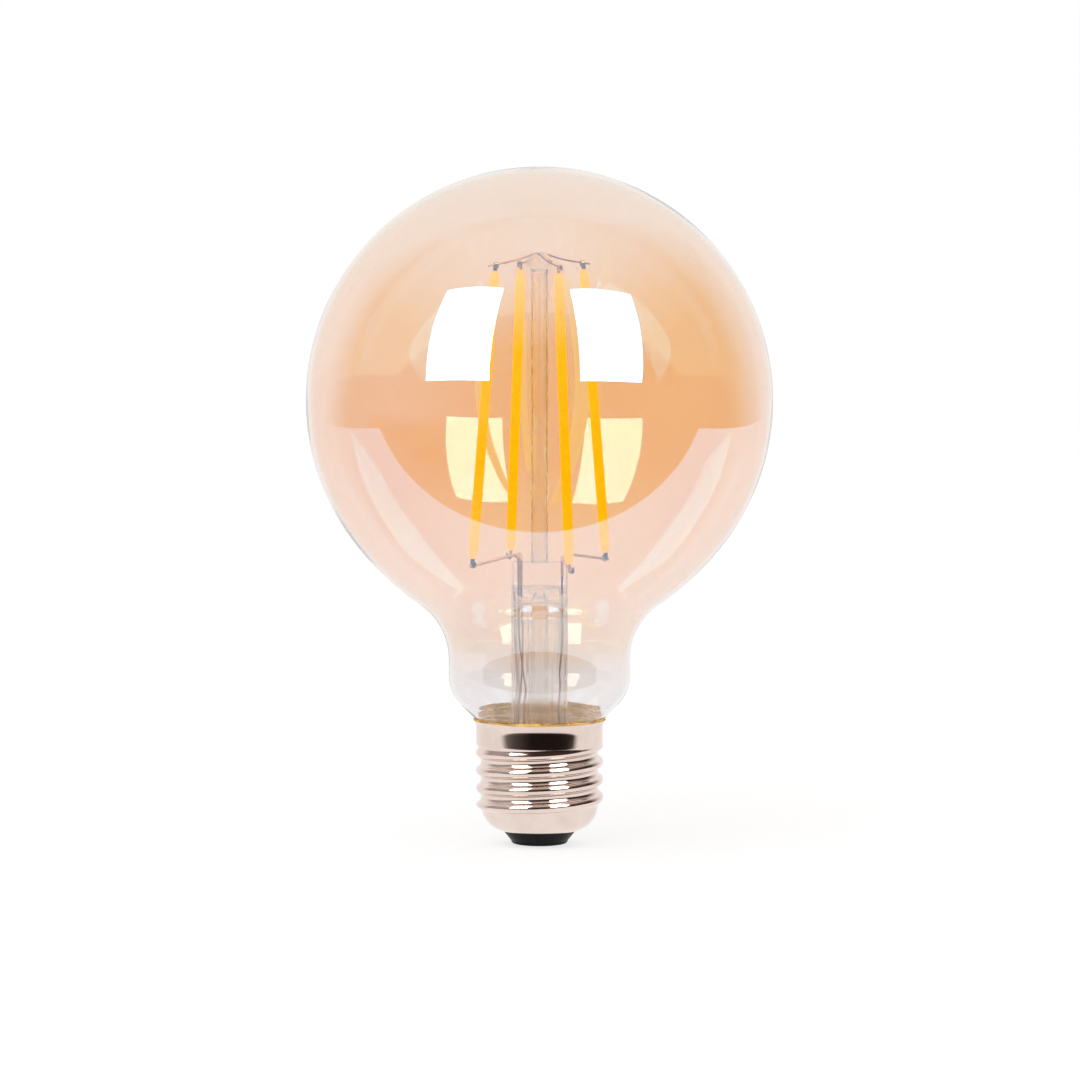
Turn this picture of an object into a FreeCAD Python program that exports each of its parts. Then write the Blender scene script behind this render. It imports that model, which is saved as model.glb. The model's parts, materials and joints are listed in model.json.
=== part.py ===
"""Globe filament lamp with an E27 screw cap, in millimetres.

The frame: Z is the lamp's axis, with the globe up. The origin is the underside of the centre contact.
The four filaments splay downwards round the glass pole, and the photographed side looks towards +Y.
"""

import FreeCAD, Part
import math
import os
import Sketcher

SIZES = [
    # screw cap
    ("rim_height", 25.7, "upper edge of the cap above the centre contact"),
    ("rim_dia", 27.2, "flared rim"),
    ("rim_flare", 2.6, "height of the flare"),
    ("collar_dia", 25.9, "plain collar"),
    ("crest_dia", 26.05, "thread crests"),
    ("root_dia", 24.0, "thread roots"),
    ("thread_pitch", 3.629, "E27 pitch"),
    ("thread_crest_drop", 7.8, "rim to the highest crest"),
    ("thread_top_drop", 4.4, "rim to the collar's foot, where the thread has faded"),
    ("thread_end_radius", 1.3, "lowest half wave"),
    ("cap_wall", 0.3, "sheet thickness of the cap"),
    ("barrel_dia", 23.4, "barrel under the thread"),
    ("dome_radius", 5.2, "curve of the turned-in foot"),
    ("dome_inset", 5.0, "centre of that curve inside the barrel"),
    ("dome_height", 8.02, "height of that centre"),
    ("dome_lip_dia", 15.2, "opening of the turned-in foot"),
    # envelope
    ("globe_dia", 95.0, "outside of the globe"),
    ("glass_wall", 0.8, "wall of the envelope"),
    ("shoulder_angle", 38.0, "degrees below the equator where the shoulder starts"),
    ("shoulder_radius", 60.0, "fuller curve below the globe"),
    ("neck_fillet", 14.0, "hollow curve from the shoulder to the neck"),
    ("neck_dia", 37.0, "outside of the neck"),
    ("neck_length", 3.21, "straight part of the neck"),
    ("neck_turn_radius", 8.4, "curve at the neck's foot"),
    ("seat_angle", 45.0, "slope of the glass over the cap's rim, degrees"),
    ("rim_play", 0.62, "rim to the slope over it"),
    ("tail_fillet", 2.0, "hollow curve from the slope to the tail"),
    ("tail_dia", 22.4, "outside of the tail inside the cap"),
    ("tail_length", 3.89, "straight part of the tail"),
    # cement
    ("cement_clearance", 0.03, "cement to cap and glass"),
    ("cement_lap", 1.3, "cement along the tail"),
    ("cement_top_gap", 0.35, "cement below the rim"),
    ("cement_flare_radius", 5.6, "cement under the flare"),
    # stem
    ("stem_dia", 11.6, "outside of the stem tube"),
    ("stem_wall", 0.8, "wall of the stem tube"),
    ("stem_length", 31.0, "tail's end to the underside of the solid press"),
    ("stem_roof_radius", 1.0, "corner inside the top of the stem tube"),
    ("flare_radius", 12.0, "hollow curve of the flare"),
    ("press_length", 7.7, "underside to top of the press"),
    ("press_shoulder", 0.8, "glass left above that underside at the press's shoulder"),
    ("press_thickness", 4.6, "across the pinched faces"),
    ("press_edge_radius", 0.45, "rounding of the press's top edge"),
    ("exhaust_dia", 3.8, "outside of the exhaust tube"),
    ("exhaust_wall", 0.5, "wall of the exhaust tube"),
    ("exhaust_length", 27.5, "press to the tipped-off end"),
    ("vent_width", 4.7, "exhaust hole through the press's front face"),
    ("vent_rise", 1.9, "height of that hole"),
    ("vent_depth", 4.4, "depth of that hole"),
    ("vent_level", 2.1, "middle of that hole above the press's underside"),
    # pole
    ("pole_dia", 3.6, "outside of the glass pole"),
    ("pole_wall", 0.45, "wall of the glass pole"),
    ("bead_dia", 5.3, "glass bead at the pole's top"),
    ("bead_depth", 3.9, "height of the bead"),
    ("bead_gap", 17.4, "bead to the top of the globe, outside"),
    # filaments
    ("filament_dia", 2.0, "phosphor stick"),
    ("filament_tip_dia", 1.1, "flat end of the stick"),
    ("filament_taper", 2.4, "length of the stick's rounded end"),
    ("filament_gap", 1.35, "wire to the stick's end"),
    ("filament_angle", 25.0, "the first filament's direction, degrees from +X"),
    ("top_circle_dia", 19.3, "circle of the upper ends"),
    ("foot_circle_dia", 29.8, "circle of the lower ends"),
    ("top_clip_drop", 2.25, "bead's top to the upper clips of filaments 1 and 3"),
    ("foot_clip_drop", 0.05, "press's top to the lower clips of filaments 1 and 3"),
    ("clip_drop", 0.3, "filaments 2 and 4 hang lower by this"),
    ("strip_width", 0.8, "carrier strip inside the stick"),
    ("strip_thickness", 0.35, "carrier strip"),
    ("clip_width", 0.85, "metal tab at each end of a filament"),
    ("clip_thickness", 0.2, "metal tab"),
    ("clip_depth", 1.2, "tab inside the stick"),
    ("clip_tail", 0.75, "folded end beyond the wire"),
    # wires
    ("top_wire_dia", 0.45, "wires through the bead"),
    ("top_wire_bend", 6.0, "arch of those wires in the bead"),
    ("outer_wire_rise", 1.95, "apex of the outer wire over its clips"),
    ("outer_wire_tail", 1.6, "wire beyond the clips"),
    ("inner_wire_rise", 1.45, "apex of the inner wire over its clips"),
    ("inner_wire_tail", 0.6, "wire beyond the clips"),
    ("lead_dia", 0.6, "nickel leads above the press"),
    ("lead_bend", 1.4, "bend of the nickel leads"),
    ("lead_tail", 0.8, "lead beyond the lower clips"),
    ("lead_rise", 1.7, "bends of the nickel leads above the press"),
    ("left_lead_depth", 4.9, "left nickel leads inside the press"),
    ("right_lead_depth", 2.9, "right nickel lead inside the press"),
    ("left_lead_inset", 1.55, "outer left lead inside the press's edge"),
    ("left_lead_spread", 0.5, "inner left lead from the outer one, sideways"),
    ("left_lead_y", 0.55, "left leads to each side of the press's middle"),
    ("right_lead_inset", 1.2, "right lead inside the press's edge"),
    ("seal_inset", 0.4, "copper starts above the press's underside by this"),
    ("arm_rise", 0.9, "welded arm on the right lead, above the press"),
    ("seal_wire_dia", 0.4, "wires sealed in the press"),
    ("copper_dia", 0.36, "copper leads in the stem"),
    ("copper_bend", 5.0, "bends of the copper leads"),
    # insulator and contact
    ("insulator_play", 0.1, "insulator to the lip of the cap"),
    ("insulator_rim", 1.5, "insulator round the contact at its underside"),
    ("insulator_foot_height", 0.2, "underside of the insulator"),
    ("insulator_edge_radius", 0.6, "rounding of its lower edge"),
    ("insulator_flange_inset", 1.9, "barrel to the insulator's flange"),
    ("insulator_top_height", 6.0, "upper face of the insulator"),
    ("contact_dia", 8.6, "centre contact"),
    ("contact_thickness", 0.5, "centre contact"),
    ("contact_edge_radius", 0.25, "rounding of its lower edge"),
    ("contact_stud_rise", 0.4, "stud over the insulator"),
    ("contact_stud_dia", 2.4, "hollow stud of the centre contact"),
    ("contact_bore_dia", 0.9, "hole for the contact wire"),
    # driver
    ("board_play", 0.05, "board to the cap's roots"),
    ("board_thickness", 1.0, "driver board"),
    ("board_gap", 3.8, "stem's foot to the board"),
    ("lead_stub", 0.5, "leads stand below the board by this"),
    ("capacitor_dia", 5.0, "filter capacitor"),
    ("capacitor_gap", 1.1, "capacitor to the insulator"),
    ("capacitor_y", -7.2, "place of the capacitor"),
    ("capacitor_groove", 0.3, "depth of the groove round the capacitor's can"),
    ("capacitor_groove_drop", 1.3, "middle of that groove from the board"),
    ("capacitor_edge_radius", 0.4, "rounding of the can"),
    ("rectifier_length", 4.7, "bridge rectifier"),
    ("rectifier_width", 3.9, "bridge rectifier"),
    ("rectifier_depth", 1.6, "bridge rectifier"),
    ("rectifier_x", -5.4, "place of the rectifier"),
    ("rectifier_y", 3.6, "place of the rectifier"),
    ("rectifier_pitch", 2.5, "from one leg of the rectifier to the next"),
    ("rectifier_leg", 0.6, "width of the rectifier's legs"),
    ("chip_length", 4.9, "driver chip"),
    ("chip_width", 3.9, "driver chip"),
    ("chip_depth", 1.5, "driver chip"),
    ("chip_x", 5.4, "place of the chip"),
    ("chip_y", 3.6, "place of the chip"),
    ("chip_pitch", 1.27, "from one leg of the chip to the next"),
    ("chip_leg", 0.4, "width of the chip's legs"),
    ("leg_thickness", 0.16, "legs of both packages"),
    ("leg_length", 0.9, "legs beside the package"),
    ("leg_foot", 0.5, "soldered foot of a leg"),
    ("package_lift", 0.12, "package from the board"),
    ("resistor_dia", 2.4, "fusible resistor"),
    ("resistor_waist_dia", 2.0, "middle of the resistor"),
    ("resistor_end", 1.1, "thicker end of the resistor"),
    ("resistor_gap", 0.9, "board to the resistor"),
    ("stud_gap", 1.3, "resistor to the contact's stud"),
    ("resistor_lead_dia", 0.55, "leads of the resistor"),
    ("rim_wire_dia", 0.5, "wire from the board to the cap"),
    ("rim_wire_bend", 0.8, "bend of that wire"),
    ("rim_wire_gap", 0.95, "end of that wire to the cap's root"),
    ("rim_wire_run", 2.15, "level part of that wire"),
    ("rim_solder_dia", 2.4, "solder that holds it"),
]

doc = FreeCAD.newDocument("globe_bulb")
sheet = doc.addObject("Spreadsheet::Sheet", "Sizes")
for row, (alias, number, note) in enumerate(SIZES, start=1):
    sheet.set(f"A{row}", alias)
    sheet.set(f"B{row}", str(number))
    sheet.set(f"C{row}", note)
    sheet.setAlias(f"B{row}", alias)
doc.recompute()

UP = FreeCAD.Vector(0, 0, 1)
nodes = []

# heights, as expressions over the sheet
SLOPE_TOP_X = "(Sizes.neck_dia / 2 - Sizes.neck_turn_radius * (1 - cos(Sizes.seat_angle)))"
SLOPE_TOP = (f"(Sizes.rim_height + Sizes.rim_play"
             f" + ({SLOPE_TOP_X} - Sizes.rim_dia / 2) / tan(Sizes.seat_angle))")
NECK_FOOT = f"({SLOPE_TOP} + Sizes.neck_turn_radius * sin(Sizes.seat_angle))"
NECK_TOP = f"({NECK_FOOT} + Sizes.neck_length)"
SHOULDER_X = "((Sizes.globe_dia / 2 - Sizes.shoulder_radius) * cos(Sizes.shoulder_angle))"
SHOULDER_FALL = (f"sqrt((Sizes.shoulder_radius + Sizes.neck_fillet) ^ 2"
                 f" - (Sizes.neck_dia / 2 + Sizes.neck_fillet - {SHOULDER_X}) ^ 2)")
GLOBE_MIDDLE = (f"({NECK_TOP} + {SHOULDER_FALL}"
                f" + (Sizes.globe_dia / 2 - Sizes.shoulder_radius) * sin(Sizes.shoulder_angle))")
GLOBE_TOP = f"({GLOBE_MIDDLE} + Sizes.globe_dia / 2)"
SLOPE_FOOT_X = "(Sizes.tail_dia / 2 + Sizes.tail_fillet * (1 - cos(Sizes.seat_angle)))"
SLOPE_FOOT = f"({SLOPE_TOP} - ({SLOPE_TOP_X} - {SLOPE_FOOT_X}) / tan(Sizes.seat_angle))"
TAIL_TOP = f"({SLOPE_FOOT} - Sizes.tail_fillet * sin(Sizes.seat_angle))"
TAIL_END = f"({TAIL_TOP} - Sizes.tail_length)"
PRESS_FLOOR = f"({TAIL_END} + Sizes.stem_length)"
PRESS_TOP = f"({PRESS_FLOOR} + Sizes.press_length)"
BEAD_TOP = f"({GLOBE_TOP} - Sizes.bead_gap)"
BOARD_TOP = f"({TAIL_END} - Sizes.stem_wall - Sizes.board_gap)"
BOARD_FOOT = f"({BOARD_TOP} - Sizes.board_thickness)"
STUD_TOP = "(Sizes.insulator_top_height + Sizes.contact_stud_rise)"
ROOT_RADIUS = "(Sizes.root_dia / 2 - Sizes.cap_wall)"


def dim(alias):
    """A driving dimension's number."""
    return float(sheet.get(alias))


def number_of(expression):
    """What an expression over the sheet comes to."""
    return float(sheet.evalExpression(expression))


def keep(shape_object, label):
    """Name an object as one finished piece of the lamp."""
    shape_object.Label = label
    nodes.append(shape_object)
    return shape_object


def new_body(name):
    return doc.addObject("PartDesign::Body", name)


def origin_plane(body, role):
    return next(part for part in body.Origin.OriginFeatures if part.Role == role)


class Pen:
    """Draws one closed outline in a sketch, corner by corner.

    A corner coordinate given as text is an expression over the sheet and is constrained by it. A number is
    only a first guess, and the tangencies beside it settle the corner.
    """

    def __init__(self, body, role="XZ_Plane", sketch=None):
        self.sketch = sketch
        if sketch is None:
            self.sketch = body.newObject("Sketcher::SketchObject", "Outline")
            self.sketch.AttachmentSupport = [(origin_plane(body, role), "")]
            self.sketch.MapMode = "FlatFace"
        self.corners = []
        self.edges = []

    def start(self, across, up):
        self.corners.append((across, up))

    def line(self, across, up, smooth=False):
        self.edges.append({"smooth": smooth})
        self.corners.append((across, up))

    def arc(self, across, up, radius, clockwise, smooth=False, free=False, centred=False):
        """An arc to the next corner; free leaves its radius to the tangencies beside it."""
        self.edges.append({"smooth": smooth, "radius": radius, "clockwise": clockwise,
                           "free": free, "centred": centred})
        self.corners.append((across, up))

    def place(self, corner):
        across, up = (number_of(part) if isinstance(part, str) else part for part in corner)
        return FreeCAD.Vector(across, up, 0)

    def bind(self, kind, members, expression):
        index = self.sketch.addConstraint(Sketcher.Constraint(kind, *members, number_of(expression)))
        self.sketch.setExpression(f"Constraints[{index}]", expression)

    def close(self, smooth=False):
        """Join the last corner to the first by a line and put everything into the sketch."""
        self.edges.append({"smooth": smooth})
        first = self.sketch.GeometryCount
        count = len(self.edges)
        places = [self.place(corner) for corner in self.corners]
        for index, edge in enumerate(self.edges):
            begin, end = places[index], places[(index + 1) % count]
            if "radius" in edge:
                self.sketch.addGeometry(arc_between(begin, end, edge), False)
            else:
                self.sketch.addGeometry(Part.LineSegment(begin, end), False)
        for index, edge in enumerate(self.edges):
            before = (index - 1) % count
            joint = (first + before, self.end_of(before), first + index, self.begin_of(index))
            kind = "Tangent" if edge["smooth"] else "Coincident"
            self.sketch.addConstraint(Sketcher.Constraint(kind, *joint))
            point = (-1, 1, first + index, self.begin_of(index))
            for axis, part in zip(("DistanceX", "DistanceY"), self.corners[index]):
                if isinstance(part, str):
                    self.bind(axis, point, part)
            if "radius" in edge and not edge["free"]:
                self.bind("Radius", (first + index,), edge["radius"])
            if edge.get("centred"):
                self.sketch.addConstraint(Sketcher.Constraint("PointOnObject", first + index, 3, -2))
        return self.sketch

    def begin_of(self, index):
        edge = self.edges[index]
        return 2 if edge.get("clockwise") else 1

    def end_of(self, index):
        return 3 - self.begin_of(index)


def arc_between(begin, end, edge):
    """The short arc of the edge's radius from begin to end, turning the way that it says."""
    radius = number_of(edge["radius"])
    chord = end - begin
    half = chord.Length / 2
    height = math.sqrt(max(radius ** 2 - half ** 2, 0))
    side = FreeCAD.Vector(-chord.y, chord.x, 0).normalize()
    turn = -1 if edge["clockwise"] else 1
    centre = (begin + end) * 0.5 + side * (height * turn)
    angles = [math.atan2(point.y - centre.y, point.x - centre.x) for point in (begin, end)]
    if edge["clockwise"]:
        angles.reverse()
    circle = Part.Circle(centre, FreeCAD.Vector(0, 0, 1), radius)
    return Part.ArcOfCircle(circle, *angles)


def revolve(body, sketch):
    """Turn an outline once round the lamp's axis."""
    turned = body.newObject("PartDesign::Revolution", "Revolution")
    turned.Profile = sketch
    turned.ReferenceAxis = (sketch, ["V_Axis"])
    turned.Angle = 360
    sketch.Visibility = False
    return turned


def pad(body, sketch, length, midplane=True):
    """Thicken an outline by a sheet dimension."""
    padded = body.newObject("PartDesign::Pad", "Pad")
    padded.Profile = sketch
    padded.setExpression("Length", length)
    padded.Midplane = midplane
    return padded


def carve(name, base, tools):
    """The base with the room of other pieces taken out, so that they meet face to face."""
    room = doc.addObject("Part::Compound", name + "_room")
    room.Links = tools
    cut = doc.addObject("Part::Cut", name + "_cut")
    cut.Base = base
    cut.Tool = room
    return cut


def rounded_path(points, bend):
    """Straight runs through the points, joined by tangent arcs of one radius."""
    edges = []
    here = points[0]
    for before, corner, after in zip(points, points[1:], points[2:]):
        arriving = (corner - before).normalize()
        leaving = (after - corner).normalize()
        turn = arriving.getAngle(leaving)
        setback = bend * math.tan(turn / 2)
        begin = corner - arriving * setback
        end = corner + leaving * setback
        inward = (leaving - arriving).normalize()
        middle = corner + inward * (bend / math.cos(turn / 2) - bend)
        edges.append(Part.LineSegment(here, begin).toShape())
        edges.append(Part.Arc(begin, middle, end).toShape())
        here = end
    edges.append(Part.LineSegment(here, points[-1]).toShape())
    return Part.Wire(edges)


def wire(name, points, diameter, bend):
    """A round wire along a rounded path."""
    vectors = [FreeCAD.Vector(*point) for point in points]
    path = rounded_path(vectors, bend)
    direction = vectors[1] - vectors[0]
    section = Part.Wire([Part.makeCircle(diameter / 2, vectors[0], direction)])
    solid = path.makePipeShell([section], True, False)
    expected = math.pi * diameter ** 2 / 4 * path.Length
    if abs(solid.Volume / expected - 1) > 0.01:
        raise ValueError(f"{name} has the volume {solid.Volume:.3f}, not {expected:.3f}")
    piece = doc.addObject("Part::Feature", name)
    piece.Shape = solid
    piece.Placement = FreeCAD.Placement()
    return keep(piece, name)


def turned(angle, radius, height, sideways=0.0):
    """A point at a direction from +X, a radius and a height, stepped sideways if asked."""
    ray = math.radians(angle)
    across = radius * math.cos(ray) - sideways * math.sin(ray)
    away = radius * math.sin(ray) + sideways * math.cos(ray)
    return (across, away, height)


def make_globe():
    """The blown envelope: globe, shoulder, neck, slope over the rim and tail, of one wall."""
    body = new_body("globe")
    wall = dim("glass_wall")
    globe = dim("globe_dia") / 2
    middle = number_of(GLOBE_MIDDLE)
    drop = math.radians(dim("shoulder_angle"))
    ray = (math.cos(drop), -math.sin(drop))
    shoulder = dim("shoulder_radius")
    shoulder_centre = on_ray((0, middle), ray, globe - shoulder)
    reach = shoulder + dim("neck_fillet")
    fall = number_of(SHOULDER_FALL)
    joint_ray = (math.sqrt(reach ** 2 - fall ** 2) / reach, -fall / reach)
    slope = math.radians(dim("seat_angle"))
    slope_ray = (math.cos(slope), -math.sin(slope))
    slope_top = (number_of(SLOPE_TOP_X), number_of(SLOPE_TOP))
    slope_foot = (number_of(SLOPE_FOOT_X), number_of(SLOPE_FOOT))

    pen = Pen(body)
    pen.start("0", GLOBE_TOP)
    pen.arc(globe * ray[0], f"{GLOBE_MIDDLE} - Sizes.globe_dia / 2 * sin(Sizes.shoulder_angle)",
            "Sizes.globe_dia / 2", clockwise=True, centred=True)
    pen.arc(*on_ray(shoulder_centre, joint_ray, shoulder), "Sizes.shoulder_radius", clockwise=True,
            smooth=True)
    pen.arc("Sizes.neck_dia / 2", number_of(NECK_TOP), "Sizes.neck_fillet", clockwise=False, smooth=True)
    pen.line("Sizes.neck_dia / 2", NECK_FOOT, smooth=True)
    pen.arc(slope_top[0], SLOPE_TOP, "Sizes.neck_turn_radius", clockwise=True, smooth=True)
    pen.line(*slope_foot, smooth=True)
    pen.arc("Sizes.tail_dia / 2", number_of(TAIL_TOP), "Sizes.tail_fillet", clockwise=False, smooth=True)
    pen.line("Sizes.tail_dia / 2", TAIL_END, smooth=True)

    pen.line("Sizes.tail_dia / 2 - Sizes.glass_wall", TAIL_END)
    pen.line("Sizes.tail_dia / 2 - Sizes.glass_wall", number_of(TAIL_TOP))
    pen.arc(*on_ray(slope_foot, slope_ray, -wall), "Sizes.tail_fillet + Sizes.glass_wall",
            clockwise=True, smooth=True)
    pen.line(slope_top[0] - wall * slope_ray[0], f"{SLOPE_TOP} + Sizes.glass_wall * sin(Sizes.seat_angle)",
             smooth=True)
    pen.arc("Sizes.neck_dia / 2 - Sizes.glass_wall", NECK_FOOT,
            "Sizes.neck_turn_radius - Sizes.glass_wall", clockwise=False, smooth=True)
    pen.line("Sizes.neck_dia / 2 - Sizes.glass_wall", number_of(NECK_TOP), smooth=True)
    pen.arc(*on_ray(shoulder_centre, joint_ray, shoulder - wall), "Sizes.neck_fillet + Sizes.glass_wall",
            clockwise=True, smooth=True)
    pen.arc((globe - wall) * ray[0],
            f"{GLOBE_MIDDLE} - (Sizes.globe_dia / 2 - Sizes.glass_wall) * sin(Sizes.shoulder_angle)",
            "Sizes.shoulder_radius - Sizes.glass_wall", clockwise=False, smooth=True)
    pen.arc("0", f"{GLOBE_TOP} - Sizes.glass_wall", "Sizes.globe_dia / 2 - Sizes.glass_wall",
            clockwise=False, smooth=True, centred=True)
    revolve(body, pen.close())
    return keep(body, "glass_globe")


def on_ray(origin, ray, distance):
    """The point of an outline's plane at a distance along a ray."""
    return (origin[0] + ray[0] * distance, origin[1] + ray[1] * distance)


def face_at(feature, height):
    """The name of a feature's flat level face at a height."""
    for index, face in enumerate(feature.Shape.Faces, start=1):
        box = face.BoundBox
        if abs(box.ZMin - height) < 1e-6 and abs(box.ZMax - height) < 1e-6:
            return f"Face{index}"
    raise ValueError(f"{feature.Name} has no level face at {height}")


def make_exhaust_tube():
    """The tipped-off tube under the press."""
    body = new_body("exhaust")
    outside = "Sizes.exhaust_dia / 2"
    inside = "Sizes.exhaust_dia / 2 - Sizes.exhaust_wall"
    tip = f"({PRESS_FLOOR} - Sizes.exhaust_length)"
    dome = f"{tip} + Sizes.exhaust_dia / 2"
    pen = Pen(body)
    pen.start("0", tip)
    pen.arc(outside, dome, outside, clockwise=False)
    pen.line(outside, PRESS_FLOOR)
    pen.line(inside, PRESS_FLOOR)
    pen.line(inside, dome)
    pen.arc("0", f"{tip} + Sizes.exhaust_wall", inside, clockwise=True)
    revolve(body, pen.close())
    return keep(body, "exhaust_tube")


def make_stem(wires):
    """The stem tube with its flare below and, above, the press pinched round the wires."""
    body = new_body("stem")
    tube = "Sizes.stem_dia / 2"
    bore = "Sizes.stem_dia / 2 - Sizes.stem_wall"
    tail = "Sizes.tail_dia / 2"
    tail_bore = "Sizes.tail_dia / 2 - Sizes.glass_wall"
    flare = "Sizes.flare_radius"
    flare_top = f"{TAIL_END} + sqrt({flare} ^ 2 - ({flare} - ({tail_bore} - {tube})) ^ 2)"
    rim_floor = f"{TAIL_END} - Sizes.stem_wall"
    inner_radius = dim("flare_radius") + dim("stem_wall")
    flare_fall = number_of(flare_top) - number_of(rim_floor)
    rim_bore = number_of(tube) + dim("flare_radius") - math.sqrt(inner_radius ** 2 - flare_fall ** 2)
    roof = "Sizes.stem_roof_radius"
    pen = Pen(body)
    pen.start("0", PRESS_TOP)
    pen.line(tube, PRESS_TOP)
    pen.line(tube, flare_top)
    pen.arc(tail_bore, TAIL_END, flare, clockwise=False)
    pen.line(tail, TAIL_END)
    pen.line(tail, rim_floor)
    pen.line(rim_bore, rim_floor)
    pen.arc(bore, flare_top, "Sizes.flare_radius + Sizes.stem_wall", clockwise=True)
    pen.line(bore, f"{PRESS_FLOOR} - {roof}", smooth=True)
    pen.arc(f"{bore} - {roof}", PRESS_FLOOR, roof, clockwise=False)
    pen.line("0", PRESS_FLOOR)
    revolve(body, pen.close())
    doc.recompute()

    half = "Sizes.press_thickness / 2"
    curve = f"{tube} - {half}"
    ledge = f"{PRESS_FLOOR} + Sizes.press_shoulder"
    beyond = f"{PRESS_TOP} + Sizes.press_thickness"
    pen = Pen(body, "YZ_Plane")
    pen.start(half, beyond)
    pen.line(half, f"{ledge} + {curve}")
    pen.arc(tube, ledge, curve, clockwise=False)
    pen.line(f"{tube} * 2", ledge)
    pen.line(f"{tube} * 2", beyond)
    before = body.Shape.Volume
    pinch = body.newObject("PartDesign::Pocket", "Pinch")
    pinch.Profile = pen.close()
    pinch.Type = "ThroughAll"
    pinch.Midplane = True
    pinch.Profile[0].Visibility = False
    doc.recompute()
    far_pinch = body.newObject("PartDesign::Mirrored", "FarPinch")
    far_pinch.Originals = [pinch]
    far_pinch.MirrorPlane = (origin_plane(body, "XZ_Plane"), [""])
    body.Tip = far_pinch
    doc.recompute()
    if not body.Shape.Volume < before - 1:
        raise ValueError("the press was not pinched")
    top = far_pinch.Shape.getElement(face_at(far_pinch, number_of(PRESS_TOP)))
    names = [f"Edge{index}" for index, edge in enumerate(far_pinch.Shape.Edges, start=1)
             if any(edge.isSame(other) for other in top.Edges)]
    soft = body.newObject("PartDesign::Fillet", "SoftTop")
    soft.Base = (far_pinch, names)
    soft.setExpression("Radius", "Sizes.press_edge_radius")
    doc.recompute()

    vent = doc.addObject("Part::Ellipsoid", "vent")
    vent.setExpression("Radius1", "Sizes.vent_rise / 2")
    vent.setExpression("Radius2", "Sizes.vent_width / 2")
    vent.setExpression("Radius3", "Sizes.vent_depth / 2")
    vent.setExpression("Placement.Base.y", "-Sizes.press_thickness / 2")
    vent.setExpression("Placement.Base.z", f"{PRESS_FLOOR} + Sizes.vent_level")
    duct = doc.addObject("Part::Cylinder", "duct")
    duct.setExpression("Radius", "Sizes.exhaust_dia / 2 - Sizes.exhaust_wall")
    duct.setExpression("Height", "Sizes.vent_level * 2")
    duct.setExpression("Placement.Base.z", f"{PRESS_FLOOR} - Sizes.vent_level")
    return keep(carve("stem", body, [vent, duct] + wires), "stem_flare")


def make_pole(wires):
    """The hollow pole on the press, closed by the bead that holds the two upper wires."""
    body = new_body("pole")
    outside = "Sizes.pole_dia / 2"
    inside = "Sizes.pole_dia / 2 - Sizes.pole_wall"
    bead_middle = f"{BEAD_TOP} - Sizes.bead_depth / 2"
    roof = f"{bead_middle} - Sizes.bead_depth / 4"
    pen = Pen(body)
    pen.start(inside, PRESS_TOP)
    pen.line(outside, PRESS_TOP)
    pen.line(outside, bead_middle)
    pen.line("0", bead_middle)
    pen.line("0", roof)
    pen.arc(inside, f"{roof} - ({inside})", inside, clockwise=True)
    revolve(body, pen.close())
    bead = doc.addObject("Part::Ellipsoid", "bead")
    bead.setExpression("Radius1", "Sizes.bead_depth / 2")
    bead.setExpression("Radius2", "Sizes.bead_dia / 2")
    bead.setExpression("Radius3", "Sizes.bead_dia / 2")
    bead.setExpression("Placement.Base.z", bead_middle)
    joined = doc.addObject("Part::Fuse", "pole_with_bead")
    joined.Base = body
    joined.Tool = bead
    return keep(carve("pole", joined, wires), "centre_pole")


FILAMENT_COUNT = 4
TOP_CLIP = f"({BEAD_TOP} - Sizes.top_clip_drop)"
CLIP_RISE = f"({TOP_CLIP} - {PRESS_TOP} + Sizes.foot_clip_drop)"
CLIP_SPAN = f"sqrt({CLIP_RISE} ^ 2 + ((Sizes.foot_circle_dia - Sizes.top_circle_dia) / 2) ^ 2)"


def filament_direction(index):
    return dim("filament_angle") + 360 / FILAMENT_COUNT * index


def crimp_height(index):
    """Height of a filament's upper clip; every other filament hangs a little lower."""
    return number_of(TOP_CLIP) - dim("clip_drop") * (index % 2)


def filament_frame(index):
    """A filament's own place: +Z runs up along it, +X points away from the lamp's axis.

    Its middle plane stands beside the upper wire, which stays radial.
    """
    rise = number_of(CLIP_RISE)
    lean = math.degrees(math.atan2((dim("foot_circle_dia") - dim("top_circle_dia")) / 2, rise))
    beside = (dim("clip_thickness") + dim("top_wire_dia")) / 2
    foot = turned(filament_direction(index), dim("foot_circle_dia") / 2,
                  crimp_height(index) - rise, -beside)
    rotation = FreeCAD.Rotation(UP, filament_direction(index))
    rotation = rotation * FreeCAD.Rotation(FreeCAD.Vector(0, 1, 0), -lean)
    return FreeCAD.Placement(FreeCAD.Vector(*foot), rotation)


def foot_crimp(index):
    """Middle of the nickel lead where a filament's lower clip holds it."""
    beside = (dim("clip_thickness") + dim("lead_dia")) / 2
    return filament_frame(index).multVec(FreeCAD.Vector(0, beside, 0))


def make_top_wires():
    """Two bare wires, crossed in the bead, that carry the filaments' upper ends."""
    made = []
    for index, name in enumerate(("outer", "inner")):
        reach = dim("top_circle_dia") / 2 + dim(f"{name}_wire_tail")
        rise = dim(f"{name}_wire_rise")
        apex = crimp_height(index) + rise
        end_height = apex - rise * reach / (dim("top_circle_dia") / 2)
        angle = filament_direction(index)
        points = [turned(angle, reach, end_height), (0, 0, apex), turned(angle, -reach, end_height)]
        made.append(wire(f"top_wire_{name}", points, dim("top_wire_dia"), dim("top_wire_bend")))
    return made


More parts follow.
